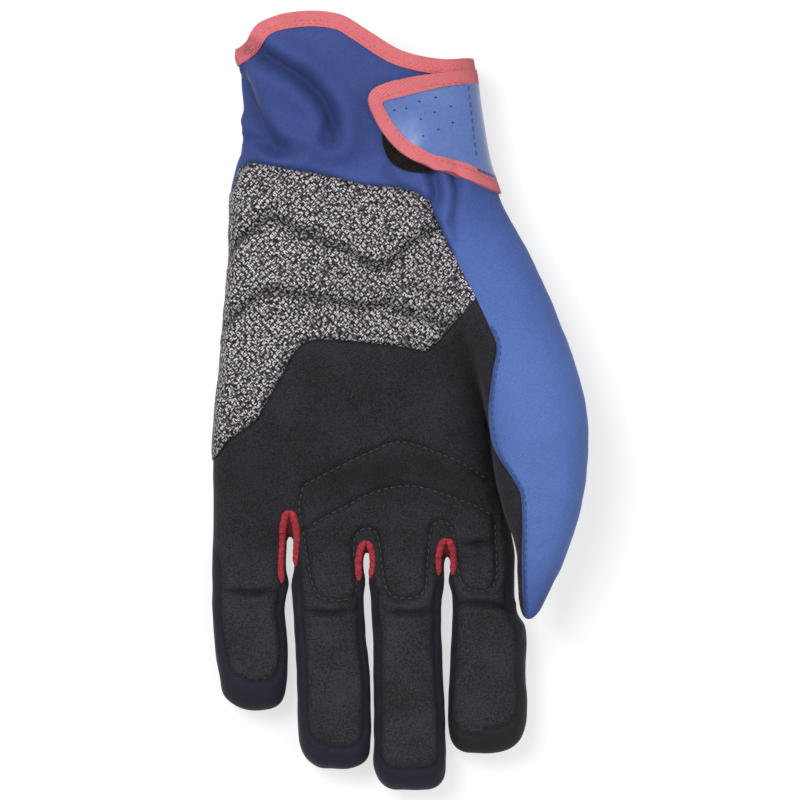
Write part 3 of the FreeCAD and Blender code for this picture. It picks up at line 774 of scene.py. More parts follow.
# x between which each finger's lane lies
LANE_OF = {"little": (-99.0, LANE_X[0]), "ring": (LANE_X[0], LANE_X[1]), "middle": (LANE_X[1], LANE_X[2]),
           "index": (LANE_X[2], 99.0)}


def region_of(x, y, thumb=False):
    """The name of the body part that holds a point of the palm side."""
    if thumb and y < THUMB_START:
        return "thumb_base" if y > THUMB_SPLIT else "thumb_end"
    for name, (low, high) in LANE_OF.items():
        if low <= x < high and y < FINGER_START[name]:
            return f"{name}_base" if y > BASE_END[name] else f"{name}_end"
    return "hand"


def attach(obj, region):
    """Parents a piece of the hand to the hand's body; any other piece only has its transform baked into its mesh."""
    if region == "hand":
        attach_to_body(obj, "hand")
        return
    if region == "strap":
        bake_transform(obj)
        return
    digit, part = region.rsplit("_", 1)
    if digit == "thumb":
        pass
    elif part == "base":
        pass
    else:
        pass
    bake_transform(obj)


# ---------------------------------------------------------------- materials
def srgb(r, g, b):
    """A colour of 0 to 255 steps as linear values for a shader."""
    return tuple(((c / 255 + 0.055) / 1.055) ** 2.4 if c > 10 else c / 255 / 12.92 for c in (r, g, b)) + (1.0,)


class Look:
    """A material whose patterns follow the stored resting place of each point."""

    def __init__(self, name, roughness, sheen, coat, specular):
        self.material = bpy.data.materials.new(name)
        self.material.use_nodes = True
        self.tree = self.material.node_tree
        self.shader = self.tree.nodes["Principled BSDF"]
        self.shader.inputs["Roughness"].default_value = roughness
        self.shader.inputs["Sheen Weight"].default_value = sheen
        self.shader.inputs["Sheen Roughness"].default_value = 0.4
        self.shader.inputs["Coat Weight"].default_value = coat
        self.shader.inputs["Coat Roughness"].default_value = 0.28
        self.shader.inputs["Specular IOR Level"].default_value = specular
        self.rest = self.add("ShaderNodeAttribute", attribute_name="rest").outputs["Vector"]
        self.height = None

    def add(self, kind, inputs=None, **settings):
        """A new node whose inputs are linked to sockets or set to values."""
        node = self.tree.nodes.new(kind)
        for key, value in settings.items():
            setattr(node, key, value)
        for key, value in (inputs or {}).items():
            if isinstance(value, bpy.types.NodeSocket):
                self.tree.links.new(value, node.inputs[key])
            else:
                node.inputs[key].default_value = value
        return node

    def maths(self, operation, *values):
        """One sum of sockets and numbers."""
        return self.add("ShaderNodeMath", dict(enumerate(values)), operation=operation).outputs[0]

    def to_share(self, value, low, high):
        """0 where the value is low, 1 where it is high."""
        return self.add("ShaderNodeMapRange", {0: value, 1: low, 2: high, 3: 0.0, 4: 1.0}).outputs[0]

    def turned(self, angle, scale):
        """The resting place turned about Z and scaled along the turned axes."""
        node = self.add("ShaderNodeMapping", {"Vector": self.rest, "Rotation": (0, 0, angle)}, vector_type="POINT")
        return self.add("ShaderNodeVectorMath", {0: node.outputs[0], 1: scale}, operation="MULTIPLY").outputs[0]

    def noise(self, scale, detail=3.0):
        """Cloudy noise with that many cells per millimetre."""
        node = self.add("ShaderNodeTexNoise", {"Vector": self.rest, "Scale": scale, "Detail": detail})
        return node.outputs[0]

    def steps(self, value, stops, smooth_steps=True):
        """A colour ramp through (place, colour) stops."""
        node = self.add("ShaderNodeValToRGB", {0: value})
        node.color_ramp.interpolation = "LINEAR" if smooth_steps else "CONSTANT"
        while len(node.color_ramp.elements) < len(stops):
            node.color_ramp.elements.new(0.5)
        for element, (place, colour) in zip(node.color_ramp.elements, stops):
            element.position = place
            element.color = colour
        return node.outputs[0]

    def mixed(self, factor, a, b, blend="MIX"):
        """Two colours mixed by a factor."""
        return self.add("ShaderNodeMix", {0: factor, 6: a, 7: b}, data_type="RGBA", blend_type=blend).outputs[2]

    def colour(self, tone):
        """Sets the base colour, mixed towards black by the stored painted shade of creases, seams and hollows."""
        painted_shade = self.add("ShaderNodeAttribute", attribute_name="painted_shade").outputs["Fac"]
        self.tree.links.new(self.mixed(painted_shade, tone, BLACK), self.shader.inputs["Base Color"])

    def bump(self, value, distance, strength):
        """Adds relief of that height in millimetres."""
        inputs = {"Height": value, "Distance": distance * MM, "Strength": strength}
        if self.height is not None:
            inputs["Normal"] = self.height
        self.height = self.add("ShaderNodeBump", inputs).outputs[0]
        self.tree.links.new(self.height, self.shader.inputs["Normal"])

    def wave(self, angle, size):
        """Parallel ridges of that spacing in millimetres, running at an angle."""
        place = self.turned(angle, (1 / size, 1 / size, 1 / size))
        across = self.add("ShaderNodeSeparateXYZ", {0: place}).outputs[0]
        return self.maths("SINE", self.maths("MULTIPLY", across, 2 * math.pi))


def grey(level):
    """An opaque grey."""
    return (level,) * 3 + (1,)


# y to which the tones of a cloth are given, either way
TONE_REACH = 130


def cloth_look(name, tones, roughness, sheen, mottle, grain, relief, twill=None, coat=0.0, specular=0.2,
               spread=0.14):
    """Woven or napped cloth whose tone runs along y through the given (y, colour) steps, with a fine grain."""
    look = Look(name, roughness, sheen, coat, specular)
    cloud = look.noise(mottle, 4.0)
    fine = look.noise(grain, 3.0)
    uneven = look.maths("MULTIPLY_ADD", fine, 0.72, look.maths("MULTIPLY", cloud, 0.28))
    y = look.add("ShaderNodeSeparateXYZ", {0: look.rest}).outputs[1]
    along = look.to_share(y, -TONE_REACH, TONE_REACH)
    tone = look.steps(along, [((place + TONE_REACH) / (2 * TONE_REACH), srgb(*colour)) for place, colour in tones])
    mottled = look.steps(uneven, [(0.43, grey(1 - spread)), (0.57, grey(1 + spread))])
    tone = look.mixed(1.0, tone, mottled, "MULTIPLY")
    if twill:
        line = look.wave(math.radians(52), twill)
        ribs = look.steps(look.to_share(line, -1.0, 1.0), [(0.0, grey(0.9)), (1.0, grey(1.1))])
        tone = look.mixed(1.0, tone, ribs, "MULTIPLY")
        look.bump(line, 0.06, 0.3)
    look.colour(tone)
    look.bump(fine, relief, 0.5)
    return look


def weave_look():
    """Dark cloth with short pale yarns slanting both ways."""
    look = Look("heel_weave", 0.85, 0.05, 0.0, 0.2)
    light = None
    for angle, seed in ((43, 0.0), (-43, 40.0)):
        place = look.turned(math.radians(angle), (0.60, 1.5, 1.0))
        place = look.add("ShaderNodeVectorMath", {0: place, 1: (seed, seed, 0)}, operation="ADD").outputs[0]
        cells = look.add("ShaderNodeTexVoronoi", {"Vector": place, "Scale": 1.0, "Randomness": 0.75},
                         voronoi_dimensions="2D")
        level = look.add("ShaderNodeSeparateColor", {0: cells.outputs["Color"]}).outputs[0]
        kept = look.steps(level, [(0.0, grey(0.15)), (0.30, grey(0.55)), (0.6, WHITE)], False)
        body = look.steps(cells.outputs["Distance"], [(0.20, WHITE), (0.34, BLACK)])
        fleck = look.mixed(1.0, kept, body, "MULTIPLY")
        light = fleck if light is None else look.mixed(1.0, light, fleck, "LIGHTEN")
    share = look.add("ShaderNodeSeparateColor", {0: light}).outputs[0]
    look.colour(look.mixed(share, srgb(40, 35, 40), srgb(240, 234, 240)))
    look.bump(light, 0.22, 0.6)
    look.bump(look.noise(3.0), 0.08, 0.4)
    return look


def knit_look():
    """Red rib knit."""
    look = Look("knit_red", 0.85, 0.1, 0.0, 0.2)
    rows = look.wave(math.radians(90), 0.85)
    look.colour(look.steps(look.noise(1.1), [(0.3, srgb(150, 40, 50)), (0.7, srgb(206, 70, 80))]))
    look.bump(rows, 0.12, 0.3)
    look.bump(look.noise(3.0), 0.12, 0.6)
    return look


BLACK_TONES = [(-120, (46, 45, 50)), (-60, (46, 45, 50)), (-30, (40, 39, 44)), (120, (40, 39, 44))]
BLUE_TONES = [(-64, (78, 102, 170)), (-48, (94, 124, 194)), (10, (94, 124, 196)), (50, (82, 108, 180)),
              (80, (60, 77, 140)), (125, (66, 84, 146))]
NAVY_TONES = [(-120, (34, 34, 47)), (-40, (36, 36, 48))]


def plain(colour):
    """Tones that stay the same along y."""
    return [(-TONE_REACH, colour), (TONE_REACH, colour)]


# Each cloth: its tones, then roughness, sheen, mottle, grain and relief, and what differs from cloth_look's own values
CLOTHS = {
    "palm_black": (BLACK_TONES, (0.8, 0.05, 0.09, 1.9, 0.45), {"spread": 0.5}),
    "finger_suede": (BLACK_TONES, (0.8, 0.05, 0.09, 1.9, 0.45), {"spread": 0.5}),
    "touch_suede": (plain((33, 31, 35)), (0.75, 0.05, 0.08, 1.8, 0.15), {}),
    "softshell_navy": (NAVY_TONES, (0.75, 0.08, 0.05, 1.8, 0.14), {"twill": 0.8}),
    "softshell_blue": (BLUE_TONES, (0.7, 0.1, 0.03, 1.4, 0.12), {"twill": 0.75, "spread": 0.07}),
    "cuff_blue": (BLUE_TONES, (0.7, 0.1, 0.03, 1.4, 0.12), {"twill": 0.75, "spread": 0.07}),
    "strap_coated": (plain((88, 118, 186)), (0.34, 0.0, 0.05, 1.0, 0.08),
                     {"coat": 0.35, "specular": 0.5, "spread": 0.06}),
    "binding_coral": (plain((228, 124, 130)), (0.8, 0.1, 0.2, 2.0, 0.12), {"twill": 0.7, "spread": 0.06}),
    "hook_and_loop": (plain((30, 22, 22)), (0.95, 0.1, 0.6, 2.4, 0.8), {"spread": 0.5}),
    "lining_fleece": (plain((54, 54, 58)), (0.95, 0.3, 0.2, 2.0, 0.3), {}),
    "thread_dark": (plain((74, 73, 79)), (0.7, 0.05, 0.5, 4.0, 0.05), {}),
    "thread_coral": (plain((236, 128, 134)), (0.7, 0.1, 0.5, 4.0, 0.05), {}),
    "thread_blue": (plain((66, 88, 152)), (0.7, 0.1, 0.5, 4.0, 0.05), {}),
}
LOOKS = {name: cloth_look(name, tones, *values, **more) for name, (tones, values, more) in CLOTHS.items()}
LOOKS.update(heel_weave=weave_look(), knit_red=knit_look())
MATERIALS = {name: look.material for name, look in LOOKS.items()}


# ---------------------------------------------------------------- panels
def flat_size(skin):
    """The piece's area and a rectangle that would hold it laid flat, in metres."""
    p = skin.points[skin.tris] * MM
    area = np.linalg.norm(np.cross(p[:, 1] - p[:, 0], p[:, 2] - p[:, 0]), axis=1).sum() / 2
    low, high = skin.points.min(0) * MM, skin.points.max(0) * MM
    length = (high - low)[1] + 0.004
    width = min(max((high - low)[0] + (high - low)[2] * 0.5, area / length * 1.03), area / length / 0.4)
    width = max(width, 0.0101)
    length = min(length, max(area / width / 0.32, 0.0101))
    return area, (width, length)


# Below this area in square metres a piece's fill is set to that value, which nothing
# reads. Below this area in square metres a piece is declared padded, with that fill
SMALLEST_SHEET = 0.00004
SMALL_FILL = 0.4


def panel(name, skin, region, look, replaces=(), thickness=SHEET_T, offset=0.0, lining="lining_fleece", fill=None):
    """One sewn panel: its shell, its finish, the hand's body for a piece of the hand, and the CAD pieces it stands
    for.
    """
    skin = skin.tidy()
    normals = skin.values["normal"]
    normals = normals / np.maximum(np.linalg.norm(normals, axis=1, keepdims=True), 1e-9)
    offset = np.broadcast_to(offset, (len(skin.points),))
    outer = Skin(skin.points + normals * offset[:, None], skin.tris)
    mesh = piece_mesh(name, outer, normals, thickness, skin.values["painted_shade"], unrolled(skin, normals))
    obj = add_object(name, mesh, MATERIALS[look], MATERIALS[lining])
    attach(obj, region)
    if replaces:
        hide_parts(*replaces)
    area, flat = flat_size(outer)
    if fill is None and area < SMALLEST_SHEET:
        fill = SMALL_FILL


def plan_level(skin, function, low, high, beyond):
    """A level worked out in the plan where y is between low and high, and one value beyond them."""
    y = skin.points[:, 1]
    chosen = (y > low) & (y < high)
    out = np.full(len(y), beyond, float)
    out[chosen] = function(skin.points[chosen][:, :2])
    return out


def cuff_level(spots):
    """Distance from the cuff's edge, positive on the glove."""
    return signed(spots, np.concatenate([smooth(CUFF_EDGE), [(75, 0), (-75, 0)]]))


# y where the index finger's touch patch begins, and how long the other fingers' tip caps are
TOUCH_START = -92.0
CAP_LENGTH = 10.5


def finger_pieces(name, skin):
    """The panels of one finger's skin."""
    top, back = skin.cut(skin.points[:, 2] - FINGER_SEAM_Z)
    face, sides = top.cut(finger_face_level(name, top.points[:, :2]))
    cap_start = TOUCH_START if name == "index" else skin.points[:, 1].min() + CAP_LENGTH
    for part, piece, look in (("palm", face, "finger_suede"), ("sides", sides, "softshell_navy"),
                              ("back", back, "softshell_navy")):
        base, beyond = piece.cut(piece.points[:, 1] - BASE_END[name])
        panel(f"{name}_base_{part}_skin", base, f"{name}_base", look, [f"{name}_base_{part}"])
        if part == "sides":
            beyond, cap = beyond.cut(beyond.points[:, 1] - cap_start)
            if name == "index":
                panel("index_touch_patch_skin", cap, "index_end", "touch_suede", ["index_touch_patch"])
            else:
                panel(f"{name}_tip_cap_skin", cap, f"{name}_end", "softshell_navy", [f"{name}_tip_cap"])
        panel(f"{name}_end_{part}_skin", beyond, f"{name}_end", look, [f"{name}_end_{part}"])


def finger_level(skin, name):
    """Positive on the part of a skin that belongs to one finger."""
    x, y = skin.points[:, 0], skin.points[:, 1]
    low, high = LANE_OF[name]
    return np.minimum(FINGER_START[name] - y, np.minimum(x - low, high - x))


def build_panels(skin):
    """Cuts the whole skin into its panels."""
    # the cloth stops a little inside the tape's edge, so that it doesn't show through
    skin = skin.cut(plan_level(skin, cuff_level, 90, 200, 5.0) - 0.8)[0]
    y = skin.points[:, 1]
    thumb, hand = skin.cut(np.minimum(skin.values["thumb"], THUMB_START - y))
    tops, backs = hand.cut(hand.points[:, 2] - SIDE_SEAM_Z)
    # thumb
    seam = np.concatenate([smooth(THUMB_SEAM), [(90, -75), (90, 40), (28, 40)]])
    for part, piece in zip(("base", "end"), thumb.cut(thumb.points[:, 1] - THUMB_SPLIT)):
        outer, inner = piece.cut(signed(piece.points[:, :2], seam))
        panel(f"thumb_{part}_outer_skin", outer, f"thumb_{part}", "softshell_blue", [f"thumb_{part}_outer"])
        panel(f"thumb_{part}_inner_skin", inner, f"thumb_{part}", "finger_suede", [f"thumb_{part}_inner"])
    # fingers
    for name in FINGERS:
        finger_pieces(name, joined([piece.cut(finger_level(piece, name))[0] for piece in (tops, backs)]))
    for name in FINGERS:
        tops, backs = (piece.cut(finger_level(piece, name))[1] for piece in (tops, backs))
    # hand
    blue, rest = tops.cut(plan_level(tops, lambda spots: signed(spots, blue_outline()), -30, 200, -5.0))
    heel, palm = rest.cut(plan_level(rest, lambda spots: signed(spots, heel_outline()), -40, 90, -5.0))
    panel("palm_skin", palm, "hand", "palm_black", ["palm_panel", "palm_lining", "thumb_saddle_inner"])
    panel("heel_skin", heel, "hand", "heel_weave", ["heel_patch", "heel_pads"], fill=0.6, thickness=2.4, offset=0.35)
    panel("cuff_and_thumb_skin", blue, "hand", "cuff_blue", ["cuff_palm_panel", "thumb_saddle_outer"])
    panel("back_skin", backs, "hand", "softshell_blue", ["back_panel", "knuckle_pad", "wrist_elastic"])


# ---------------------------------------------------------------- trims
STRAP_OUTLINE = [(26.0, 106.6), (12.8, 105.0), (0.0, 102.4), (-8.0, 99.8), (-10.4, 96.4), (-9.0, 91.6), (-4.8, 84.5),
                 (0.6, 78.8), (9.6, 74.2), (19.2, 71.4), (31.0, 66.6)]
LOOP_OUTLINE = [(-5.2, 88.5), (-5.7, 83.8), (-4.8, 79.6), (-2.6, 76.0), (2.2, 73.6), (8.6, 72.9), (12.0, 75.0),
                (20.0, 80.0), (20.0, 96.0), (0.0, 96.0)]
STRAP_SEAM = [(21.7, 101.5), (22.6, 94), (23.4, 86), (24.6, 77)]
DIMPLES = [(2.0, 93.4), (6.2, 95.6), (6.6, 90.0), (11.0, 92.2), (11.4, 97.0), (12.2, 86.8), (16.2, 94.2),
           (16.8, 89.0), (7.4, 84.6), (-1.9, 92.8)]
WEBS = {("little", "ring"): [(-38.1, -58.4), (-38.4, -52), (-38.0, -45), (-37.4, -39), (-35.6, -35.0), (-33.8, -37.6),
                             (-33.0, -43), (-33.2, -48), (-33.4, -53.0)],
        ("ring", "middle"): [(-13.2, -57.6), (-13.4, -52), (-12.8, -47.6), (-11.0, -44.6), (-9.2, -47.2), (-8.6, -52),
                             (-9.4, -57.0)],
        ("middle", "index"): [(12.4, -55.8), (12.2, -51), (12.9, -46.6), (14.8, -44.0), (16.6, -46.4), (17.3, -51),
                              (17.0, -55.6)]}


# The strap: its gap over the cuff when free and at its root, the tape's width, how far in the cloth's and
# the hook patch's edges are, how far the tape stands proud, and the height where the root ends
STRAP_LIFT = 3.4
STRAP_ROOT_LIFT = 1.1
STRAP_TAPE = 4.5
STRAP_CLOTH_INSET = 3.4
HOOK_INSET = 5.4
STRAP_ROLL = 0.55
STRAP_ROOT_Z = 15.0
# The cuff's tape: its width and how far it stands proud
CUFF_TAPE = 5.0
CUFF_ROLL = 0.6


class Surface:
    """A ray-cast target for setting trims on a piece of skin."""

    def __init__(self, skin):
        self.tree = BVHTree.FromPolygons([tuple(p) for p in skin.points], [tuple(t) for t in skin.tris])

    def under(self, x, y):
        """The skin's topmost point there and its normal, or None beyond its edge."""
        place, normal, _, _ = self.tree.ray_cast(Vector((x, y, 90)), Vector((0, 0, -1)))
        if place is None or normal.z < 0.12:
            return None
        return np.array(place), np.array(normal)


def even_points(line, step):
    """Points spread evenly along a broken line."""
    lengths = np.concatenate([[0], np.cumsum(np.linalg.norm(np.diff(line, axis=0), axis=1))])
    at = np.arange(step / 2, lengths[-1], step)
    return np.stack([np.interp(at, lengths, line[:, k]) for k in range(line.shape[1])], 1)


def tube_tris(start, rings, sides):
    """Triangles of a closed tube whose rings of points are numbered from start."""
    tris = []
    for ring in range(rings - 1):
        for k in range(sides):
            p, q = start + ring * sides + k, start + ring * sides + (k + 1) % sides
            tris += [(p, q, q + sides), (p, q + sides, p + sides)]
    last = start + (rings - 1) * sides
    tris += [(start, start + k + 1, start + k) for k in range(1, sides - 1)]
    tris += [(last, last + k, last + k + 1) for k in range(1, sides - 1)]
    return tris


def rounded_mesh(name, points, tris):
    """A smooth mesh from points in millimetres."""
    points = np.concatenate(points)
    mesh = bpy.data.meshes.new(name)
    mesh.from_pydata((points * MM).tolist(), [], tris)
    mesh.polygons.foreach_set("use_smooth", np.ones(len(mesh.polygons), bool))
    keep_rest(mesh, points)
    return mesh


# Along a stitch: share of its length, share of its radius, and how far its middle rises in radii
THREAD_SHAPE = ((0.0, 0.3, -0.6), (0.14, 0.9, 0.0), (0.5, 1.0, 0.35), (0.86, 0.9, 0.0), (1.0, 0.3, -0.6))


def thread_mesh(name, stitches, radius):
    """Short rounded threads: each has its two ends and the surface normal."""
    sides = 6
    points, tris = [], []
    for a, b, normal in stitches:
        along = (b - a) / np.linalg.norm(b - a)
        across = np.cross(normal, along)
        across /= np.linalg.norm(across)
        up = np.cross(along, across)
        start = len(points) * sides
        for share, size, rise in THREAD_SHAPE:
            centre = a + (b - a) * share + up * radius * rise
            turn = np.arange(sides) * 2 * math.pi / sides
            ring = centre + radius * size * (np.cos(turn)[:, None] * across + np.sin(turn)[:, None] * up)
            points.append(ring)
        tris += tube_tris(start, len(THREAD_SHAPE), sides)
    return rounded_mesh(name, points, tris)


def stitch(name, surface, line, look, length, gap, radius, shift=0.0, thumb=False, only=None):
    """A row of stitches along a line in the plan, set on a surface and shared among the bodies it crosses."""
    if shift:
        ahead = np.gradient(line, axis=0)
        side = np.stack([-ahead[:, 1], ahead[:, 0]], 1)
        line = line + side / np.maximum(np.linalg.norm(side, axis=1, keepdims=True), 1e-9) * shift
    groups = {}
    spots = even_points(line, (length + gap) / 2)
    for a, b in zip(spots[0::2], spots[1::2]):
        half = (b - a) / np.linalg.norm(b - a) * length / 2
        centre = (a + b) / 2
        ends = [surface.under(*(centre - half)), surface.under(*(centre + half))]
        if None in ends or abs(ends[0][0][2] - ends[1][0][2]) > length:
            continue
        region = only or region_of(centre[0], centre[1], thumb)
        normal = ends[0][1] + ends[1][1]
        rise = normal / np.linalg.norm(normal) * radius * 0.3
        groups.setdefault(region, []).append((ends[0][0] + rise, ends[1][0] + rise, normal))
    for region, stitches in groups.items():
        tag = name if len(groups) == 1 else f"{name}_{region}"
        obj = add_object(tag, thread_mesh(tag, stitches, radius), MATERIALS[look])
        attach(obj, region)


def rib_mesh(name, paths, radius):
    """Rolled knitted edges along lines in space, with fine ribs round them."""
    points, tris = [], []
    sides = 10
    for path in paths:
        ahead = np.gradient(path, axis=0)
        ahead /= np.linalg.norm(ahead, axis=1, keepdims=True)
        across = np.cross(np.array([0, 0, 1.0]), ahead)
        across /= np.linalg.norm(across, axis=1, keepdims=True)
        up = np.cross(ahead, across)
        turn = np.arange(sides) * 2 * math.pi / sides
        start = sum(len(p) for p in points)
        count = len(path)
        taper = np.clip(np.minimum(np.arange(count), np.arange(count)[::-1]) / 6.0, 0.15, 1) ** 0.5
        size = radius * taper * (1 + 0.05 * np.sin(np.arange(count) * 0.9))
        rings = path[:, None] + size[:, None, None] * (np.cos(turn)[None, :, None] * across[:, None]
                                                      + np.sin(turn)[None, :, None] * up[:, None])
        points.append(rings.reshape(-1, 3))
        tris += tube_tris(start, count, sides)
    return rounded_mesh(name, points, tris)


def build_webs(skin, surface):
    """Red rib knit round the slots between the fingers: a crown on the hand and a rolled leg on each finger."""
    legs = {name: [] for name in FINGERS}
    for (left, right), rows in WEBS.items():
        line = even_points(smooth(rows, per=10), 0.3)
        heights = []
        for x, y in line:
            hit = surface.under(x, y)
            heights.append(hit[0][2] if hit else np.nan)
        heights = np.array(heights)
        good = ~np.isnan(heights)
        heights = np.interp(np.arange(len(line)), np.flatnonzero(good), heights[good])
        heights = np.convolve(np.pad(heights, 6, mode="edge"), np.ones(13) / 13, "valid")
        path = np.column_stack([line, heights - 0.1])
        crown = int(np.argmax(path[:, 1]))
        legs[left].append(path[:crown + 2])
        legs[right].append(path[crown - 1:][::-1])
        outline = smooth(rows, per=6)
        patch = skin.cut(np.minimum(skin.points[:, 2] - 8, plan_level(
            skin, lambda spots: signed(spots, outline), -62, -30, -5.0)))[0]
        patch = patch.cut(patch.points[:, 1] - max(FINGER_START[left], FINGER_START[right]))[0]
        # painted shade: the knit patch between the fingers is darkened throughout, standing for the shade between them
        patch.values["painted_shade"] = np.full(len(patch.points), 0.72)
        panel(f"{left}_{right}_web_skin", patch, "hand", "knit_red", [f"{left}_{right}_web"], offset=0.3,
              lining="knit_red")
    for name, paths in legs.items():
        obj = add_object(f"{name}_web_rolls", rib_mesh(f"{name}_web_rolls", paths, 1.2), MATERIALS["knit_red"])
        attach(obj, f"{name}_base")
        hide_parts(f"{name}_web_strips")


def build_cuff_trim(skin):
    """The folded tape round the cuff's mouth."""
    ring = skin.cut(plan_level(skin, cuff_level, 90, 200, 9.0))[0]
    ring = ring.cut(CUFF_TAPE - plan_level(ring, cuff_level, 90, 200, 9.0))[0]
    panel("cuff_binding_skin", ring, "hand", "binding_coral", ["cuff_binding"], offset=CUFF_ROLL, thickness=2.2,
          lining="binding_coral")
    edge = smooth(CUFF_EDGE, per=14)
    edge = edge[np.abs(edge[:, 0]) < 52]
    tape = Skin(ring.points + ring.values["normal"] * CUFF_ROLL, ring.tris)
    for row, shift in (("inner", -4.1), ("outer", -3.0)):
        stitch(f"cuff_stitches_{row}", Surface(tape), edge, "thread_coral", 1.5, 0.6, 0.17, shift)


def strap_lift(points, lift):
    """How far the strap stands off the cuff: sewn down at its root and free beyond the hinge."""
    return lift - (lift - STRAP_ROOT_LIFT) * ramp(points[:, 0], 8, 24)


def strap_root_level(skin):
    """Positive on the strap's root, which is sewn down the thumb's side of the cuff."""
    return STRAP_ROOT_Z - skin.points[:, 2] - 40 * (skin.points[:, 0] < 16)


def build_strap(skin):
    """The closing strap, its tape, its patches and the punched dimples."""
    area = skin.cut(np.minimum(skin.points[:, 1] - 62, 112 - skin.points[:, 1]))[0]
    area = area.cut(np.minimum(area.points[:, 2] - 6.5, area.points[:, 0] + 14))[0].relaxed(30)
    area.values["normal"] = area.normals()
    area.values["painted_shade"] = np.zeros(len(area.points))
    outline = np.concatenate([smooth(STRAP_OUTLINE, per=10), [(75, 66.6), (75, 106.6)]])
    whole, _ = area.cut(signed(area.points[:, :2], outline))
    inner = signed(whole.points[:, :2], outline)
    cloth, _ = whole.cut(inner - STRAP_CLOTH_INSET)
    tape, _ = whole.cut(STRAP_TAPE - inner)
    root, free = cloth.cut(strap_root_level(cloth))
    panel("strap_skin", free, "strap", "strap_coated", ["strap_panel"],
          offset=strap_lift(free.points, STRAP_LIFT), thickness=1.3)
    panel("strap_root_skin", root, "strap", "strap_coated", ["strap_root"],
          offset=strap_lift(root.points, STRAP_LIFT), thickness=1.0)
    root_tape, free_tape = tape.cut(strap_root_level(tape))
    panel("strap_binding_skin", free_tape, "strap", "binding_coral", ["strap_binding"], lining="binding_coral",
          offset=strap_lift(free_tape.points, STRAP_LIFT + STRAP_ROLL), thickness=2.4)
    panel("strap_root_binding", root_tape, "strap", "binding_coral", lining="binding_coral",
          offset=strap_lift(root_tape.points, STRAP_LIFT + STRAP_ROLL), thickness=2.0)
    lift = strap_lift(whole.points, STRAP_LIFT)[:, None]
    top = Surface(Skin(whole.points + whole.values["normal"] * (lift + STRAP_ROLL), whole.tris))
    flat = Surface(Skin(whole.points + whole.values["normal"] * lift, whole.tris))
    stitch("strap_edge_stitches", top, smooth(STRAP_OUTLINE, per=14), "thread_coral", 1.4, 0.6, 0.17, 3.7,
           only="strap")
    stitch("strap_seam_stitches", flat, smooth(STRAP_SEAM, per=10), "thread_blue", 1.8, 0.8, 0.2, only="strap")
    # hook patch under the free end, and the loop patch that it grips
    hook, _ = whole.cut(inner - HOOK_INSET)
    hook, _ = hook.cut(14 - hook.points[:, 0])
    panel("hook_patch_skin", hook, "strap", "hook_and_loop", ["hook_patch"], offset=1.95, thickness=0.8,
          lining="hook_and_loop")
    loop, _ = area.cut(signed(area.points[:, :2], smooth(LOOP_OUTLINE, closed=True)))
    loop, _ = loop.cut(loop.points[:, 2] - STRAP_ROOT_Z)
    panel("loop_patch_skin", loop, "hand", "hook_and_loop", ["loop_patch"], offset=1.05, thickness=0.9,
          lining="hook_and_loop")
    build_fibres(Surface(Skin(loop.points + loop.values["normal"] * 1.0, loop.tris)))
    build_dimples(flat)


def build_fibres(surface):
    """Loose fibres on the loop patch."""
    fibres = []
    for _ in range(900):
        x, y = RNG.uniform(-7, 14), RNG.uniform(70, 90)
        hit = surface.under(x, y)
        if hit is None:
            continue
        lean = RNG.normal(size=3) * 0.55 + hit[1] * 0.5
        fibres.append((hit[0] - hit[1] * 0.1, hit[0] + lean, hit[1] + 0.01))
    obj = add_object("loop_patch_fibres", thread_mesh("loop_patch_fibres", fibres, 0.07), MATERIALS["hook_and_loop"])
    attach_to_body(obj, "hand")


def build_dimples(surface):
    """The small punched dimples of the strap, drawn as short dark threads."""
    dots = []
    for x, y in DIMPLES:
        a, b = surface.under(x - 0.45, y), surface.under(x + 0.45, y)
        if a and b:
            dots.append((a[0] - a[1] * 0.12, b[0] - b[1] * 0.12, a[1]))
    obj = add_object("strap_dimples", thread_mesh("strap_dimples", dots, 0.27), MATERIALS["touch_suede"])
    attach(obj, "strap")


def build_stitching(surface):
    """Rows of thread along the seams, pads and quilted channels."""
    for number, line in enumerate(QUILT_LINES, 1):
        stitch(f"heel_quilt_stitches_{number}", surface, smooth(line), "thread_dark", 2.0, 0.8, 0.2)
    heel = heel_outline()
    heel = heel[(heel[:, 0] > -61) & (heel[:, 0] < 30)]
    stitch("heel_edge_stitches", surface, heel, "thread_dark", 1.9, 0.8, 0.2, -1.2)
    rows = (("pad_top", PAD_TOP), ("pad_side", PAD_SIDE), ("pad_wave", PAD_WAVE), ("pad_lobes", PAD_LOBES))
    for name, line in rows:
        stitch(f"{name}_stitches", surface, smooth(line), "thread_dark", 1.5, 0.8, 0.2)
    stitch("thumb_seam_stitches", surface, smooth(THUMB_SEAM), "thread_blue", 1.7, 0.7, 0.18, 1.3, thumb=True)


# ---------------------------------------------------------------- studio
WORLD_LEVEL = 0.34
KEY_POWER = 12.5
FILL_POWER = 3.0
FLOOR_SIZE = 3.0
FLOOR_DROP = 0.0006
FLOOR_TONE = 0.55
FLOOR_TONE_SEEN = 0.5
FLOOR_GLOW = 0.65
# The camera looks straight down from this height, over a picture this wide at that distance from the palm
CAMERA_PLACE = (0.0, 0.00064, 2.0)
CAMERA_SENSOR = 36.0
CAMERA_DISTANCE = 1.98
PICTURE_WIDTH = 0.256


def add_light(name, place, size, power):
    """A square lamp turned to the glove."""
    light = bpy.data.lights.new(name, "AREA")
    light.shape = "SQUARE"
    light.size = size
    light.energy = power
    obj = bpy.data.objects.new(name, light)
    bpy.context.scene.collection.objects.link(obj)
    obj.location = place
    obj.rotation_euler = (Vector((0, 0, 0.01)) - Vector(place)).to_track_quat("-Z", "Y").to_euler()


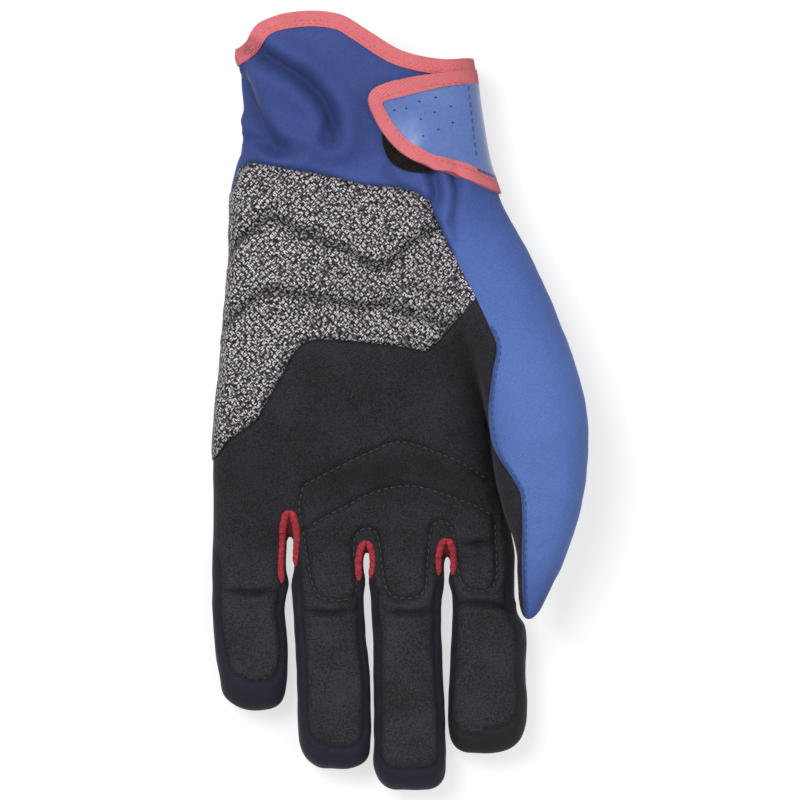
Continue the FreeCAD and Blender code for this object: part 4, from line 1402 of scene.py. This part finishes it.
def seen_directly(tree):
    """1 for rays from the camera, in reflections and through glass, otherwise 0."""
    paths = tree.nodes.new("ShaderNodeLightPath")
    total = paths.outputs["Is Camera Ray"]
    for name in ("Is Glossy Ray", "Is Transmission Ray"):
        either = tree.nodes.new("ShaderNodeMath")
        either.operation = "MAXIMUM"
        tree.links.new(total, either.inputs[0])
        tree.links.new(paths.outputs[name], either.inputs[1])
        total = either.outputs[0]
    return total


def build_studio():
    """Camera, two lamps, a plain world and a white floor that keeps the shadow."""
    scene = bpy.context.scene
    camera = bpy.data.objects.new("camera", bpy.data.cameras.new("camera"))
    scene.collection.objects.link(camera)
    camera.location = CAMERA_PLACE
    camera.data.sensor_width = CAMERA_SENSOR
    camera.data.lens = CAMERA_SENSOR * CAMERA_DISTANCE / PICTURE_WIDTH
    camera.data.clip_start = 0.01
    scene.camera = camera
    scene.view_settings.view_transform = "Standard"
    world = bpy.data.worlds.new("studio")
    scene.world = world
    world.use_nodes = True
    tree = world.node_tree
    back = tree.nodes["Background"]
    back.inputs[0].default_value = WHITE
    level = tree.nodes.new("ShaderNodeMix")
    level.inputs[2].default_value = WORLD_LEVEL
    level.inputs[3].default_value = 1.0
    tree.links.new(seen_directly(tree), level.inputs[0])
    tree.links.new(level.outputs[0], back.inputs[1])
    add_light("key", (-0.55, 0.5, 1.3), 0.7, KEY_POWER)
    add_light("fill", (0.9, -0.3, 1.1), 0.9, FILL_POWER)
    mesh = bpy.data.meshes.new("floor")
    corners = [(x * FLOOR_SIZE, y * FLOOR_SIZE, -FLOOR_DROP) for x, y in ((-1, -1), (1, -1), (1, 1), (-1, 1))]
    mesh.from_pydata(corners, [], [(0, 1, 2, 3)])
    floor = bpy.data.objects.new("floor", mesh)
    scene.collection.objects.link(floor)
    material = bpy.data.materials.new("floor")
    material.use_nodes = True
    nodes, links = material.node_tree.nodes, material.node_tree.links
    shader = nodes["Principled BSDF"]
    shader.inputs["Roughness"].default_value = 1.0
    shader.inputs["Specular IOR Level"].default_value = 0.0
    seen = seen_directly(material.node_tree)
    tone = nodes.new("ShaderNodeMix")
    tone.data_type = "RGBA"
    tone.inputs[6].default_value = grey(FLOOR_TONE)
    tone.inputs[7].default_value = grey(FLOOR_TONE_SEEN)
    links.new(seen, tone.inputs[0])
    links.new(tone.outputs[2], shader.inputs["Base Color"])
    glow = nodes.new("ShaderNodeMath")
    glow.operation = "MULTIPLY"
    glow.inputs[1].default_value = FLOOR_GLOW
    links.new(seen, glow.inputs[0])
    shader.inputs["Emission Color"].default_value = WHITE
    links.new(glow.outputs[0], shader.inputs["Emission Strength"])
    mesh.materials.append(material)


def main():
    """Builds the whole picture."""
    skin = shape_surface(build_skin())
    skin.values["normal"] = skin.normals()
    top = Surface(skin)
    build_panels(skin)
    build_cuff_trim(skin)
    build_strap(skin)
    build_webs(skin, top)
    build_stitching(top)
    build_studio()


main()
